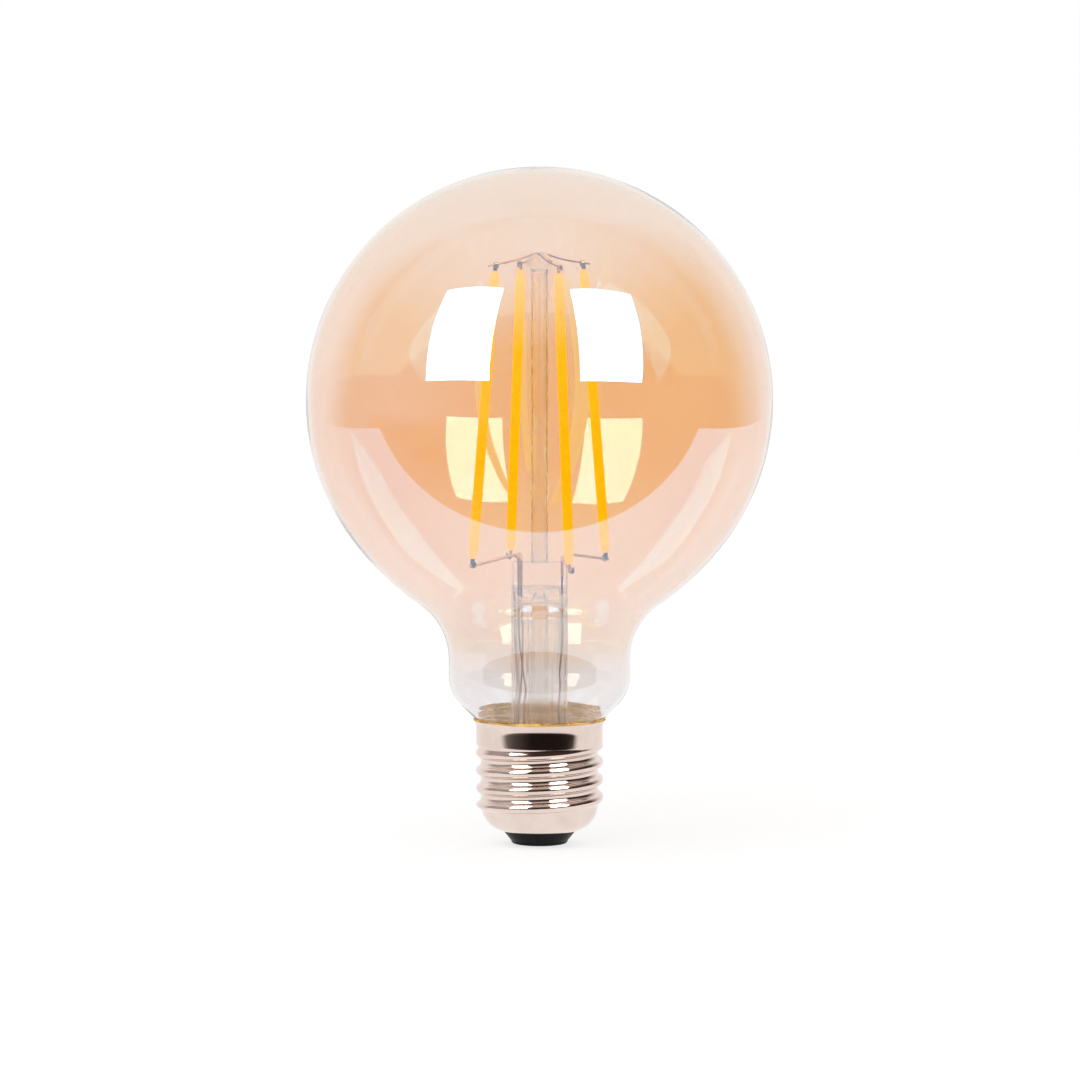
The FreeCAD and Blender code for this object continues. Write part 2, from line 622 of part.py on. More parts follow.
def lead_to_clip(name, foot, index):
    """A nickel lead that rises from the press and bends over to a filament's lower clip."""
    bend_point = FreeCAD.Vector(foot[0], foot[1], number_of(PRESS_TOP) + dim("lead_rise"))
    crimp = foot_crimp(index)
    end = crimp + (crimp - bend_point).normalize() * dim("lead_tail")
    return wire(name, [foot, tuple(bend_point), tuple(end)], dim("lead_dia"), dim("lead_bend"))


# the copper leads' courses from the press down to the board: x and y in shares of the place where each
# lead enters, height in shares of the way up from the board
COURSES = {
    "left_a": [(0.976, 1.0, 0.851), (0.929, 1.09, 0.752), (0.828, 1.31, 0.632), (0.882, 1.42, 0.483),
               (1.0, 1.45, 0.381), (1.035, 1.64, 0.197)],
    "left_b": [(0.92, 0.91, 0.891), (0.912, 0.73, 0.723), (0.933, 0.45, 0.627), (0.747, 0.45, 0.493),
               (0.88, 0.73, 0.387), (0.8, 1.45, 0.197)],
    "right": [(1.026, 0, 0.837), (0.978, 0, 0.717), (0.887, 0, 0.611), (0.913, 0, 0.504),
              (0.848, 0, 0.387), (0.891, 0, 0.197)],
}


def make_leads():
    """Nickel, seal and copper lengths of the three leads, end to end through the press."""
    press_top = number_of(PRESS_TOP)
    edge = dim("stem_dia") / 2
    left_x = edge - dim("left_lead_inset")
    places = {
        "left_a": ((-left_x, -dim("left_lead_y")), press_top - dim("left_lead_depth"), 2),
        "left_b": ((-left_x + dim("left_lead_spread"), dim("left_lead_y")),
                   press_top - dim("left_lead_depth"), 1),
        "right": ((edge - dim("right_lead_inset"), 0), press_top - dim("right_lead_depth"), 0),
    }
    seal_foot = number_of(PRESS_FLOOR) + dim("seal_inset")
    stub = number_of(BOARD_FOOT) - dim("lead_stub")
    made = {}
    for side, (place, foot, index) in places.items():
        made["nickel_" + side] = lead_to_clip("inner_lead_" + side, (*place, foot), index)
        seal = [(*place, seal_foot), (*place, foot)]
        made["seal_" + side] = wire("seal_wire_" + side, seal, dim("seal_wire_dia"), 1)
        copper = [(*place, seal_foot)]
        for across, away, share in COURSES[side]:
            copper.append((place[0] * across, place[1] * away, stub + (seal_foot - stub) * share))
        copper.append((*copper[-1][:2], stub))
        made["copper_" + side] = wire("outer_lead_" + side, copper, dim("copper_dia"),
                                      dim("copper_bend"))
    return made


def make_cross_arm(post):
    """The straight wire welded to the right lead that reaches the front filament."""
    crimp = foot_crimp(3)
    begin = FreeCAD.Vector(dim("stem_dia") / 2 - dim("right_lead_inset"), 0,
                           number_of(PRESS_TOP) + dim("arm_rise"))
    end = crimp + (crimp - begin).normalize() * dim("lead_tail")
    arm = wire("cross_arm", [tuple(begin), tuple(end)], dim("lead_dia"), 1)
    nodes.remove(arm)
    return keep(carve("cross_arm", arm, [post]), "cross_arm_right")


def make_clip(name, index, upper, held):
    """A tab folded back over its wire, as a hook of one sheet."""
    body = new_body(name + "_tab")
    sheet_half = "Sizes.clip_thickness / 2"
    grip = "Sizes.top_wire_dia" if upper else "Sizes.lead_dia"
    level = CLIP_SPAN if upper else "0"
    away = "-" if upper else "+"
    back = "+" if upper else "-"
    inner_end = f"{level} {away} (Sizes.filament_gap + Sizes.clip_depth)"
    tail_end = f"{level} {away} Sizes.clip_tail"
    near = f"{sheet_half} + {grip}"
    far = f"{sheet_half} + {grip} + Sizes.clip_thickness"
    pen = Pen(body, "YZ_Plane")
    pen.start(f"-{sheet_half}", inner_end)
    pen.line(f"-{sheet_half}", level)
    pen.arc(far, level, f"{grip} / 2 + Sizes.clip_thickness", clockwise=upper, smooth=True, free=True)
    pen.line(far, tail_end)
    pen.line(near, tail_end)
    pen.line(near, level)
    pen.arc(sheet_half, level, f"{grip} / 2", clockwise=not upper, smooth=True, free=True)
    pen.line(sheet_half, inner_end)
    pad(body, pen.close(), "Sizes.clip_width")
    body.Placement = filament_frame(index)
    return keep(carve(name, body, [held]), name)


def make_filament(index, clips):
    """A phosphor stick on its carrier strip, between its two clips."""
    number = index + 1
    inset = "(Sizes.filament_gap + Sizes.clip_depth)"
    strip = doc.addObject("Part::Box", f"strip_{number}")
    strip.setExpression("Length", "Sizes.strip_width")
    strip.setExpression("Width", "Sizes.strip_thickness")
    strip.setExpression("Height", f"{CLIP_SPAN} - 2 * {inset}")
    corner = FreeCAD.Vector(-dim("strip_width") / 2, -dim("strip_thickness") / 2, number_of(inset))
    strip.Placement = filament_frame(index) * FreeCAD.Placement(corner, FreeCAD.Rotation())
    keep(strip, f"filament_strip_{number}")

    body = new_body(f"stick_{number}")
    tip = "Sizes.filament_tip_dia / 2"
    side = "Sizes.filament_dia / 2"
    foot = "Sizes.filament_gap"
    top = f"{CLIP_SPAN} - Sizes.filament_gap"
    swell = f"({side} - {tip})"
    curve = f"({swell} ^ 2 + Sizes.filament_taper ^ 2) / (2 * {swell})"
    pen = Pen(body)
    pen.start("0", foot)
    pen.line(tip, foot)
    pen.arc(side, f"{foot} + Sizes.filament_taper", curve, clockwise=False, free=True)
    pen.line(side, f"{top} - Sizes.filament_taper", smooth=True)
    pen.arc(tip, top, curve, clockwise=False, smooth=True, free=True)
    pen.line("0", top)
    revolve(body, pen.close())
    body.Placement = filament_frame(index)
    return keep(carve(f"led_filament_{number}", body, [strip] + clips), f"led_filament_{number}")


WAVE_DEPTH = "(Sizes.crest_dia - Sizes.root_dia) / 2"
WAVE_RADIUS = f"(((Sizes.thread_pitch / 4) ^ 2 + ({WAVE_DEPTH} / 2) ^ 2) / ({WAVE_DEPTH}))"
WAVES = 3
CREST = "(Sizes.rim_height - Sizes.thread_crest_drop)"


def dome_level(across, inset):
    """Height of the turned-in foot's curve at a radius, inside the surface by inset."""
    reach = f"({across}) - Sizes.barrel_dia / 2 + Sizes.dome_inset"
    return f"Sizes.dome_height - sqrt((Sizes.dome_radius - {inset}) ^ 2 - ({reach}) ^ 2)"


def flank(step, inset):
    """The point halfway up a thread flank; even steps are upper flanks, counted downwards."""
    lean = f"(Sizes.thread_pitch / 4 / {WAVE_RADIUS})"
    face = f"(({WAVE_RADIUS} - {WAVE_DEPTH} / 2) / {WAVE_RADIUS})"
    side = "-" if step % 2 == 0 else "+"
    return (f"(Sizes.crest_dia + Sizes.root_dia) / 4 - {inset} * {face}",
            f"{CREST} + Sizes.thread_pitch / 4 - {step} * Sizes.thread_pitch / 2"
            f" {side} {inset} * {lean}")


def make_screw_shell():
    """The rolled E27 cap: one thin sheet with a rounded thread, a flared rim and a turned-in foot.

    Crest and root are equal arcs that meet halfway up the flank, and the inside of the sheet follows
    the same centres.
    """
    body = new_body("cap")
    wall = "Sizes.cap_wall"
    rim_foot = "Sizes.rim_height - Sizes.rim_flare"
    collar_foot = "Sizes.rim_height - Sizes.thread_top_drop"
    flare_radius = "Sizes.rim_flare ^ 2 / (Sizes.rim_dia - Sizes.collar_dia)"
    barrel = "Sizes.barrel_dia / 2"
    lip = "Sizes.dome_lip_dia / 2"
    end_radius = "Sizes.thread_end_radius"
    pen = Pen(body)
    pen.start("Sizes.rim_dia / 2", "Sizes.rim_height")
    pen.arc("Sizes.collar_dia / 2", rim_foot, flare_radius, clockwise=False)
    pen.line("Sizes.collar_dia / 2", collar_foot)
    pen.line(*flank(-1, "0"))
    for step in range(2 * WAVES):
        hollow = step % 2 == 0
        pen.arc(*flank(step, "0"), WAVE_RADIUS, clockwise=not hollow)
    pen.arc(*flank(2 * WAVES, "0"), WAVE_RADIUS, clockwise=False)
    pen.arc(barrel, dome_level(barrel, "0"), end_radius, clockwise=True)
    pen.arc(lip, dome_level(lip, "0"), "Sizes.dome_radius", clockwise=True)
    pen.line(lip, dome_level(lip, wall))
    pen.arc(f"{barrel} - {wall}", dome_level(f"{barrel} - {wall}", wall), f"Sizes.dome_radius - {wall}",
            clockwise=False)
    pen.arc(*flank(2 * WAVES, wall), f"{end_radius} - {wall}", clockwise=False)
    pen.arc(*flank(2 * WAVES - 1, wall), f"{WAVE_RADIUS} + {wall}", clockwise=True)
    for step in range(2 * WAVES - 2, -2, -1):
        hollow = step % 2 == 1 or step == -1
        sign = "+" if hollow else "-"
        pen.arc(*flank(step, wall), f"{WAVE_RADIUS} {sign} {wall}", clockwise=hollow)
    pen.line(f"Sizes.collar_dia / 2 - {wall}", collar_foot)
    pen.line(f"Sizes.collar_dia / 2 - {wall}", rim_foot)
    pen.arc(f"Sizes.rim_dia / 2 - {wall}", "Sizes.rim_height", flare_radius, clockwise=True)
    revolve(body, pen.close())
    return keep(body, "screw_shell")


def make_cement():
    """The cement ring between the glass and the cap's collar."""
    body = new_body("cement")
    play = "Sizes.cement_clearance"
    inside = f"Sizes.tail_dia / 2 + {play}"
    outside = f"Sizes.collar_dia / 2 - Sizes.cap_wall - {play}"
    top = "Sizes.rim_height - Sizes.cement_top_gap"
    flare_foot = "Sizes.rim_height - Sizes.rim_flare"
    flare = "Sizes.cement_flare_radius"
    slope = math.radians(dim("seat_angle"))
    slope_ray = (math.cos(slope), -math.sin(slope))
    slope_foot = (number_of(SLOPE_FOOT_X), number_of(SLOPE_FOOT))
    pen = Pen(body)
    pen.start(inside, f"{TAIL_TOP} - Sizes.cement_lap")
    pen.line(outside, f"{TAIL_TOP} - Sizes.cement_lap")
    pen.line(outside, flare_foot)
    pen.arc(f"{outside} + {flare} - sqrt({flare} ^ 2 - (Sizes.rim_flare - Sizes.cement_top_gap) ^ 2)",
            top, flare, clockwise=True)
    pen.line(f"{SLOPE_FOOT_X} + ({top} - {SLOPE_FOOT}) * tan(Sizes.seat_angle)"
             f" + {play} / cos(Sizes.seat_angle)", top)
    pen.line(*on_ray(slope_foot, slope_ray, dim("cement_clearance")))
    pen.arc(inside, number_of(TAIL_TOP), f"Sizes.tail_fillet - {play}", clockwise=False, smooth=True)
    revolve(body, pen.close(smooth=True))
    return keep(body, "cement_ring")


def make_insulator():
    """The black ring that carries the centre contact, locked inside the cap's turned-in foot."""
    body = new_body("insulator")
    bore = "Sizes.contact_stud_dia / 2"
    flange = "Sizes.barrel_dia / 2 - Sizes.insulator_flange_inset"
    neck = "Sizes.dome_lip_dia / 2 - Sizes.insulator_play"
    foot = "Sizes.contact_dia / 2 + Sizes.insulator_rim"
    edge = "Sizes.insulator_edge_radius"
    inset = "(Sizes.cap_wall + Sizes.cement_clearance)"
    pen = Pen(body)
    pen.start(bore, "Sizes.insulator_top_height")
    pen.line(flange, "Sizes.insulator_top_height")
    pen.line(flange, dome_level(flange, inset))
    pen.arc(neck, dome_level(neck, inset), f"Sizes.dome_radius - {inset}", clockwise=True)
    pen.line(neck, dome_level("Sizes.dome_lip_dia / 2", "0"))
    pen.line(foot, f"Sizes.insulator_foot_height + {edge}")
    pen.arc(f"{foot} - {edge}", "Sizes.insulator_foot_height", edge, clockwise=True)
    pen.line("Sizes.contact_dia / 2", "Sizes.insulator_foot_height")
    pen.line("Sizes.contact_dia / 2", "Sizes.contact_thickness")
    pen.line(bore, "Sizes.contact_thickness")
    revolve(body, pen.close())
    return keep(body, "insulator")


def make_contact():
    """The tinned centre contact: a button with a hollow stud through the insulator."""
    body = new_body("contact")
    rim = "Sizes.contact_dia / 2"
    edge = "Sizes.contact_edge_radius"
    stud = "Sizes.contact_stud_dia / 2"
    bore = "Sizes.contact_bore_dia / 2"
    pen = Pen(body)
    pen.start("0", "0")
    pen.line(f"{rim} - {edge}", "0")
    pen.arc(rim, edge, edge, clockwise=False)
    pen.line(rim, "Sizes.contact_thickness")
    pen.line(stud, "Sizes.contact_thickness")
    pen.line(stud, STUD_TOP)
    pen.line(bore, STUD_TOP)
    pen.line(bore, "Sizes.contact_thickness")
    pen.line("0", "Sizes.contact_thickness")
    revolve(body, pen.close())
    return keep(body, "centre_contact")


def make_capacitor():
    """The can that hangs under the board, with the crimped groove round its foot."""
    body = new_body("capacitor")
    side = "Sizes.capacitor_dia / 2"
    soft = "Sizes.capacitor_edge_radius"
    groove = "Sizes.capacitor_groove"
    middle = "Sizes.capacitor_groove_drop"
    foot = f"Sizes.insulator_top_height + Sizes.capacitor_gap - {BOARD_FOOT}"
    pen = Pen(body)
    pen.start("0", "0")
    pen.line("0", foot)
    pen.line(f"{side} - {soft}", foot)
    pen.arc(side, f"{foot} + {soft}", soft, clockwise=False)
    pen.line(side, f"-{middle} - {groove}")
    pen.line(f"{side} - {groove}", f"-{middle}")
    pen.line(side, f"-{middle} + {groove}")
    pen.line(side, f"-{soft}")
    pen.arc(f"{side} - {soft}", "0", soft, clockwise=False)
    revolve(body, pen.close())
    body.setExpression("Placement.Base.y", "Sizes.capacitor_y")
    body.setExpression("Placement.Base.z", BOARD_FOOT)
    return keep(body, "filter_capacitor")


def make_resistor():
    """The fusible resistor on the axis, its upper lead through the board."""
    body = new_body("resistor")
    lead = "Sizes.resistor_lead_dia / 2"
    side = "Sizes.resistor_dia / 2"
    waist = "Sizes.resistor_waist_dia / 2"
    top = f"{BOARD_FOOT} - Sizes.resistor_gap"
    foot = f"{STUD_TOP} + Sizes.stud_gap"
    pen = Pen(body)
    pen.start("0", foot)
    pen.line(side, foot)
    pen.line(side, f"{foot} + Sizes.resistor_end")
    pen.line(waist, f"{foot} + Sizes.resistor_end + {side} - {waist}")
    pen.line(waist, f"{top} - Sizes.resistor_end - {side} + {waist}")
    pen.line(side, f"{top} - Sizes.resistor_end")
    pen.line(side, top)
    pen.line(lead, top)
    pen.line(lead, f"{BOARD_TOP} + Sizes.lead_stub")
    pen.line("0", f"{BOARD_TOP} + Sizes.lead_stub")
    revolve(body, pen.close())
    return keep(body, "fusible_resistor")


def make_package(name, label, rows):
    """A flat package under the board, with a row of bent legs on each side."""
    body = new_body(f"{name}_package")
    half = f"Sizes.{name}_width / 2"
    lift = "Sizes.package_lift"
    depth = f"Sizes.{name}_depth"
    pen = Pen(body, "YZ_Plane")
    pen.start(f"-{half}", f"-{lift} - {depth}")
    pen.line(half, f"-{lift} - {depth}")
    pen.line(half, f"-{lift}")
    pen.line(f"-{half}", f"-{lift}")
    pad(body, pen.close(), f"Sizes.{name}_length")

    thick = "Sizes.leg_thickness"
    level = f"{lift} + {depth} / 2"
    tip = f"{half} + Sizes.leg_length"
    heel = f"{tip} - Sizes.leg_foot"
    pen = Pen(body, "YZ_Plane")
    pen.start(tip, "0")
    pen.line(heel, "0")
    pen.line(heel, f"-({level})")
    pen.line(f"-({heel})", f"-({level})")
    pen.line(f"-({heel})", "0")
    pen.line(f"-({tip})", "0")
    pen.line(f"-({tip})", f"-{thick}")
    pen.line(f"-({heel}) - {thick}", f"-{thick}")
    pen.line(f"-({heel}) - {thick}", f"-({level}) - {thick}")
    pen.line(f"{heel} + {thick}", f"-({level}) - {thick}")
    pen.line(f"{heel} + {thick}", f"-{thick}")
    pen.line(tip, f"-{thick}")
    sketch = pen.close()
    span = f"Sizes.{name}_pitch * {rows - 1}"
    sketch.setExpression("AttachmentOffset.Base.z", f"-{span} / 2")
    legs = pad(body, sketch, f"Sizes.{name}_leg")
    row = body.newObject("PartDesign::LinearPattern", "LegRow")
    row.Originals = [legs]
    row.Direction = (sketch, ["N_Axis"])
    row.setExpression("Length", span)
    row.Occurrences = rows
    body.Tip = row
    body.setExpression("Placement.Base.x", f"Sizes.{name}_x")
    body.setExpression("Placement.Base.y", f"Sizes.{name}_y")
    body.setExpression("Placement.Base.z", BOARD_FOOT)
    return keep(body, label)


def make_driver(cap, coppers):
    """The round board in the cap with the parts that hang under it and its links."""
    resistor = make_resistor()
    resistor_foot = number_of(STUD_TOP) + dim("stud_gap")
    wire("contact_wire", [(0, 0, dim("contact_thickness")), (0, 0, resistor_foot)],
         dim("resistor_lead_dia"), 1)
    root_level = f"({CREST} - Sizes.thread_pitch / 2)"
    reach = f"({ROOT_RADIUS} - Sizes.rim_wire_gap)"
    level = number_of(root_level)
    end = number_of(reach)
    away = end - dim("rim_wire_run")
    stub = number_of(BOARD_FOOT) - dim("lead_stub")
    rim_wire = wire("rim_wire", [(0, away, stub), (0, away, level), (0, end, level)],
                    dim("rim_wire_dia"), dim("rim_wire_bend"))
    drop = doc.addObject("Part::Sphere", "solder_drop")
    drop.setExpression("Radius", "Sizes.rim_solder_dia / 2")
    drop.setExpression("Placement.Base.y", reach)
    drop.setExpression("Placement.Base.z", root_level)
    keep(carve("solder", drop, [cap, rim_wire]), "rim_solder")
    make_capacitor()
    make_package("rectifier", "bridge_rectifier", 2)
    make_package("chip", "driver_chip", 4)
    disc = doc.addObject("Part::Cylinder", "disc")
    disc.setExpression("Radius", f"{ROOT_RADIUS} - Sizes.board_play")
    disc.setExpression("Height", "Sizes.board_thickness")
    disc.setExpression("Placement.Base.z", BOARD_FOOT)
    keep(carve("board", disc, coppers + [resistor, rim_wire]), "driver_board")


def build():
    """Make every piece of the lamp."""
    made = make_leads()
    top_wires = make_top_wires()
    arm = make_cross_arm(made["nickel_right"])
    make_globe()
    make_exhaust_tube()
    make_stem(list(made.values()))
    make_pole(top_wires)
    feet = [made["nickel_right"], made["nickel_left_b"], made["nickel_left_a"], arm]
    for index in range(FILAMENT_COUNT):
        upper = make_clip(f"filament_top_clip_{index + 1}", index, True, top_wires[index % 2])
        lower = make_clip(f"filament_foot_clip_{index + 1}", index, False, feet[index])
        make_filament(index, [upper, lower])
    make_cement()
    cap = make_screw_shell()
    make_insulator()
    make_contact()
    make_driver(cap, [made["copper_left_a"], made["copper_left_b"], made["copper_right"]])


def check_all():
    """Stop if any object of the document failed or any piece isn't one sound solid."""
    for item in doc.Objects:
        if "Invalid" in item.State or "Error" in item.State:
            raise ValueError(f"{item.Name} is not valid: {item.State}")
    for node in nodes:
        shape = node.Shape
        if shape.isNull() or not shape.isValid() or len(shape.Solids) != 1:
            raise ValueError(f"{node.Label} has no sound solid")


build()
doc.recompute()
check_all()
os.makedirs("parts", exist_ok=True)
for node in nodes:
    node.Shape.exportStep(f"parts/{node.Label}.step")
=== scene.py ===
"""Looks of the globe lamp: tinted glass, filaments, wires and cap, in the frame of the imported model.

Lengths in the outlines are millimetres; MM turns them into Blender's metres.
"""

import json
import math

import bmesh
import bpy
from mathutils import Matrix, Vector, noise


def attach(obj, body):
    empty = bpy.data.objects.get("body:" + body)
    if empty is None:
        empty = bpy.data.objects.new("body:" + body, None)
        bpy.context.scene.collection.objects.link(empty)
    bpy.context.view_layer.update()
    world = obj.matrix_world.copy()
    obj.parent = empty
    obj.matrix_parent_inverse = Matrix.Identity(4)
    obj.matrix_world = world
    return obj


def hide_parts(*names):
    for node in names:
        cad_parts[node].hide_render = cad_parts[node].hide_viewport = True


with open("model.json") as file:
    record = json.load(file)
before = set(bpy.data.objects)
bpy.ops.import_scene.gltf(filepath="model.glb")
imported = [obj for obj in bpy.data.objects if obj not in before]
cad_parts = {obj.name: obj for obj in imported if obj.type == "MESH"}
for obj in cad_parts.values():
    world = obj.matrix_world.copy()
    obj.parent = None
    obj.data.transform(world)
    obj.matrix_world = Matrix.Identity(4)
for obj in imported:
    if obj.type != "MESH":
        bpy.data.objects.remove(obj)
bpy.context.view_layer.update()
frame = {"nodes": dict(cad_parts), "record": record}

MM = 0.001
ON_AXIS = 1e-6
SAME_PLACE = 1e-8
NODES = frame["nodes"]


# outlines

def arc(centre, radius, begin, end, steps):
    """Points of an arc in the outline plane, angles in degrees from +X."""
    points = []
    for step in range(steps + 1):
        angle = math.radians(begin + (end - begin) * step / steps)
        points.append((centre[0] + radius * math.cos(angle), centre[1] + radius * math.sin(angle)))
    return points


def wall_outline(outside, thickness):
    """The outline of a wall of one thickness under an outer curve that runs from the axis down."""
    inside = []
    for index, point in enumerate(outside):
        before = Vector(outside[max(index - 1, 0)])
        after = Vector(outside[min(index + 1, len(outside) - 1)])
        along = (after - before).normalized()
        inside.append((max(point[0] + along.y * thickness, 0.0), point[1] - along.x * thickness))
    inside[0] = (0.0, outside[0][1] - thickness)
    inside[-1] = (outside[-1][0] - thickness, outside[-1][1])
    return outside + inside[::-1]


def turned_ring(mesh, loop):
    """Vertices spread evenly round Z, one for each radius and height of the loop."""
    ring = []
    for place, (radius, height) in enumerate(loop):
        angle = 2 * math.pi * place / len(loop)
        ring.append(mesh.verts.new((radius * MM * math.cos(angle), radius * MM * math.sin(angle),
                                    height * MM)))
    return ring


def join_rings(mesh, lower, upper):
    """Faces between two rings, either of which may be one vertex on the axis."""
    count = max(len(lower), len(upper))
    for place in range(count):
        after = (place + 1) % count
        if len(lower) == 1:
            mesh.faces.new((lower[0], upper[after], upper[place]))
        elif len(upper) == 1:
            mesh.faces.new((lower[place], lower[after], upper[0]))
        else:
            mesh.faces.new((lower[place], lower[after], upper[after], upper[place]))


def lathe(name, outline, segments):
    """A mesh turned round Z from an outline that begins and ends on the axis."""
    mesh = bmesh.new()
    rings = []
    for radius, height in outline:
        if radius < ON_AXIS:
            rings.append(turned_ring(mesh, [(0.0, height)]))
        else:
            rings.append(turned_ring(mesh, [(radius, height)] * segments))
    for lower, upper in zip(rings, rings[1:]):
        join_rings(mesh, lower, upper)
    return finished(name, mesh)


def placed(name, data):
    """A new object of the scene that holds the data."""
    item = bpy.data.objects.new(name, data)
    bpy.context.scene.collection.objects.link(item)
    return item


def finished(name, mesh, sharp=40):
    """A smooth shaded object from a bmesh, with edges sharper than an angle in degrees kept."""
    bmesh.ops.recalc_face_normals(mesh, faces=mesh.faces[:])
    data = bpy.data.meshes.new(name)
    mesh.to_mesh(data)
    mesh.free()
    for polygon in data.polygons:
        polygon.use_smooth = True
    data.set_sharp_from_angle(angle=math.radians(sharp))
    return placed(name, data)


def dress(piece, material):
    piece.data.materials.clear()
    piece.data.materials.append(material)


def stand_for(piece, node, material):
    """Show a finer piece in the place of a CAD node."""
    dress(piece, material)
    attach(piece, "root")
    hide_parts(node)


# materials

def material(name):
    made = bpy.data.materials.new(name)
    made.use_nodes = True
    return made, made.node_tree, made.node_tree.nodes["Principled BSDF"]


def add(tree, kind, **values):
    node = tree.nodes.new(kind)
    for key, value in values.items():
        setattr(node, key, value)
    return node


def plug(tree, value, socket):
    """Link an output to a socket, or set the socket to a number."""
    if isinstance(value, float):
        socket.default_value = value
    else:
        tree.links.new(value, socket)


def maths(tree, operation, *values, clamp=False):
    """What a maths node makes of outputs and numbers."""
    node = add(tree, "ShaderNodeMath", operation=operation, use_clamp=clamp)
    for value, socket in zip(values, node.inputs):
        plug(tree, value, socket)
    return node.outputs["Value"]


def mixed(tree, share, first, second):
    """Two shaders mixed, with the second one's share."""
    mix = add(tree, "ShaderNodeMixShader")
    for value, socket in zip((share, first, second), mix.inputs):
        plug(tree, value, socket)
    return mix.outputs["Shader"]


def show(tree, shader):
    tree.links.new(shader, tree.nodes["Material Output"].inputs["Surface"])


def parts_of(tree, vector):
    """The X, Y and Z outputs of a vector."""
    split = add(tree, "ShaderNodeSeparateXYZ")
    tree.links.new(vector, split.inputs["Vector"])
    return split.outputs


def noise_of(tree, scale, detail=3.0, stretch=(1, 1, 1)):
    """Noise over the object's own coordinates, in cells a metre."""
    place = add(tree, "ShaderNodeTexCoord")
    mapping = add(tree, "ShaderNodeMapping")
    mapping.inputs["Scale"].default_value = stretch
    texture = add(tree, "ShaderNodeTexNoise")
    texture.inputs["Scale"].default_value = scale
    texture.inputs["Detail"].default_value = detail
    tree.links.new(place.outputs["Object"], mapping.inputs["Vector"])
    tree.links.new(mapping.outputs["Vector"], texture.inputs["Vector"])
    return texture.outputs["Fac"]


def bump_from(tree, shader, height, distance, strength=1.0):
    bump = add(tree, "ShaderNodeBump")
    bump.inputs["Distance"].default_value = distance
    bump.inputs["Strength"].default_value = strength
    tree.links.new(height, bump.inputs["Height"])
    tree.links.new(bump.outputs["Normal"], shader.inputs["Normal"])


def ramp_of(tree, factor, stops):
    ramp = add(tree, "ShaderNodeValToRGB")
    elements = ramp.color_ramp.elements
    while len(elements) < len(stops):
        elements.new(0.5)
    for element, (position, colour) in zip(elements, stops):
        element.position = position
        element.color = (*colour, 1.0)
    tree.links.new(factor, ramp.inputs["Fac"])
    return ramp.outputs["Color"]


def map_range(tree, value, low, high, to_low, to_high):
    node = add(tree, "ShaderNodeMapRange")
    for name, number in (("From Min", low), ("From Max", high), ("To Min", to_low), ("To Max", to_high)):
        node.inputs[name].default_value = number
    tree.links.new(value, node.inputs["Value"])
    return node.outputs["Result"]


GLASS_WAVES = 38.0
PATCH_SCALE = 0.08


def glass(name, colour_stops, heights, ior, waviness, gloss_stops=None, straight=0.0):
    """Clear glass whose tint changes with height; lamp light passes through it softly tinted.

    The tint is a thin film, so what it keeps back of the light is mirrored: gloss_stops give that colour.
    straight is the share of the light that passes without being bent, high for thin and faint glass.
    """
    made, tree, shader = material(name)
    shader.inputs["Transmission Weight"].default_value = 1.0
    shader.inputs["Roughness"].default_value = 0.0
    shader.inputs["IOR"].default_value = ior
    place = add(tree, "ShaderNodeTexCoord")
    along = parts_of(tree, place.outputs["Object"])["Z"]
    height = map_range(tree, along, heights[0] * MM, heights[1] * MM, 0.0, 1.0)
    colour = ramp_of(tree, height, colour_stops)
    tree.links.new(colour, shader.inputs["Base Color"])
    if gloss_stops:
        tree.links.new(ramp_of(tree, height, gloss_stops), shader.inputs["Specular Tint"])
    bump_from(tree, shader, noise_of(tree, GLASS_WAVES, 1.0), waviness)
    path = add(tree, "ShaderNodeLightPath")
    through = add(tree, "ShaderNodeBsdfTransparent")
    tree.links.new(colour, through.inputs["Color"])
    share = maths(tree, "MAXIMUM", path.outputs["Is Shadow Ray"], straight)
    show(tree, mixed(tree, share, shader.outputs["BSDF"], through.outputs["BSDF"]))
    return made


def metal(name, colour, worn_colour, roughness, grain, stretch=(1, 1, 1), bump=0.00001):
    """Plated or drawn metal: a base colour with worn patches, and roughness that follows the grain."""
    made, tree, shader = material(name)
    shader.inputs["Metallic"].default_value = 1.0
    fine = noise_of(tree, grain, 4.0, stretch)
    broad = noise_of(tree, grain * PATCH_SCALE)
    patched = ramp_of(tree, broad, [(0.35, worn_colour), (0.62, colour)])
    tree.links.new(patched, shader.inputs["Base Color"])
    tree.links.new(map_range(tree, fine, 0.3, 0.7, roughness * 0.7, roughness * 1.4),
                   shader.inputs["Roughness"])
    bump_from(tree, shader, fine, bump, 0.6)
    return made


def coated(name, colour, other_colour, roughness, scale, bump, gloss=0.5, glow=0.0, stretch=(1, 1, 1)):
    """A coloured solid with a mottled colour and a fine bump; glow is painted light, an emission in the
    mottled colour that lifts it where little light reaches.
    """
    made, tree, shader = material(name)
    shader.inputs["Specular IOR Level"].default_value = gloss
    field = noise_of(tree, scale, 4.0, stretch)
    mottled = ramp_of(tree, field, [(0.35, colour), (0.68, other_colour)])
    tree.links.new(mottled, shader.inputs["Base Color"])
    if glow:
        tree.links.new(mottled, shader.inputs["Emission Color"])
        shader.inputs["Emission Strength"].default_value = glow
    tree.links.new(map_range(tree, field, 0.3, 0.7, roughness * 0.85, roughness * 1.15),
                   shader.inputs["Roughness"])
    bump_from(tree, shader, field, bump, 0.7)
    return made


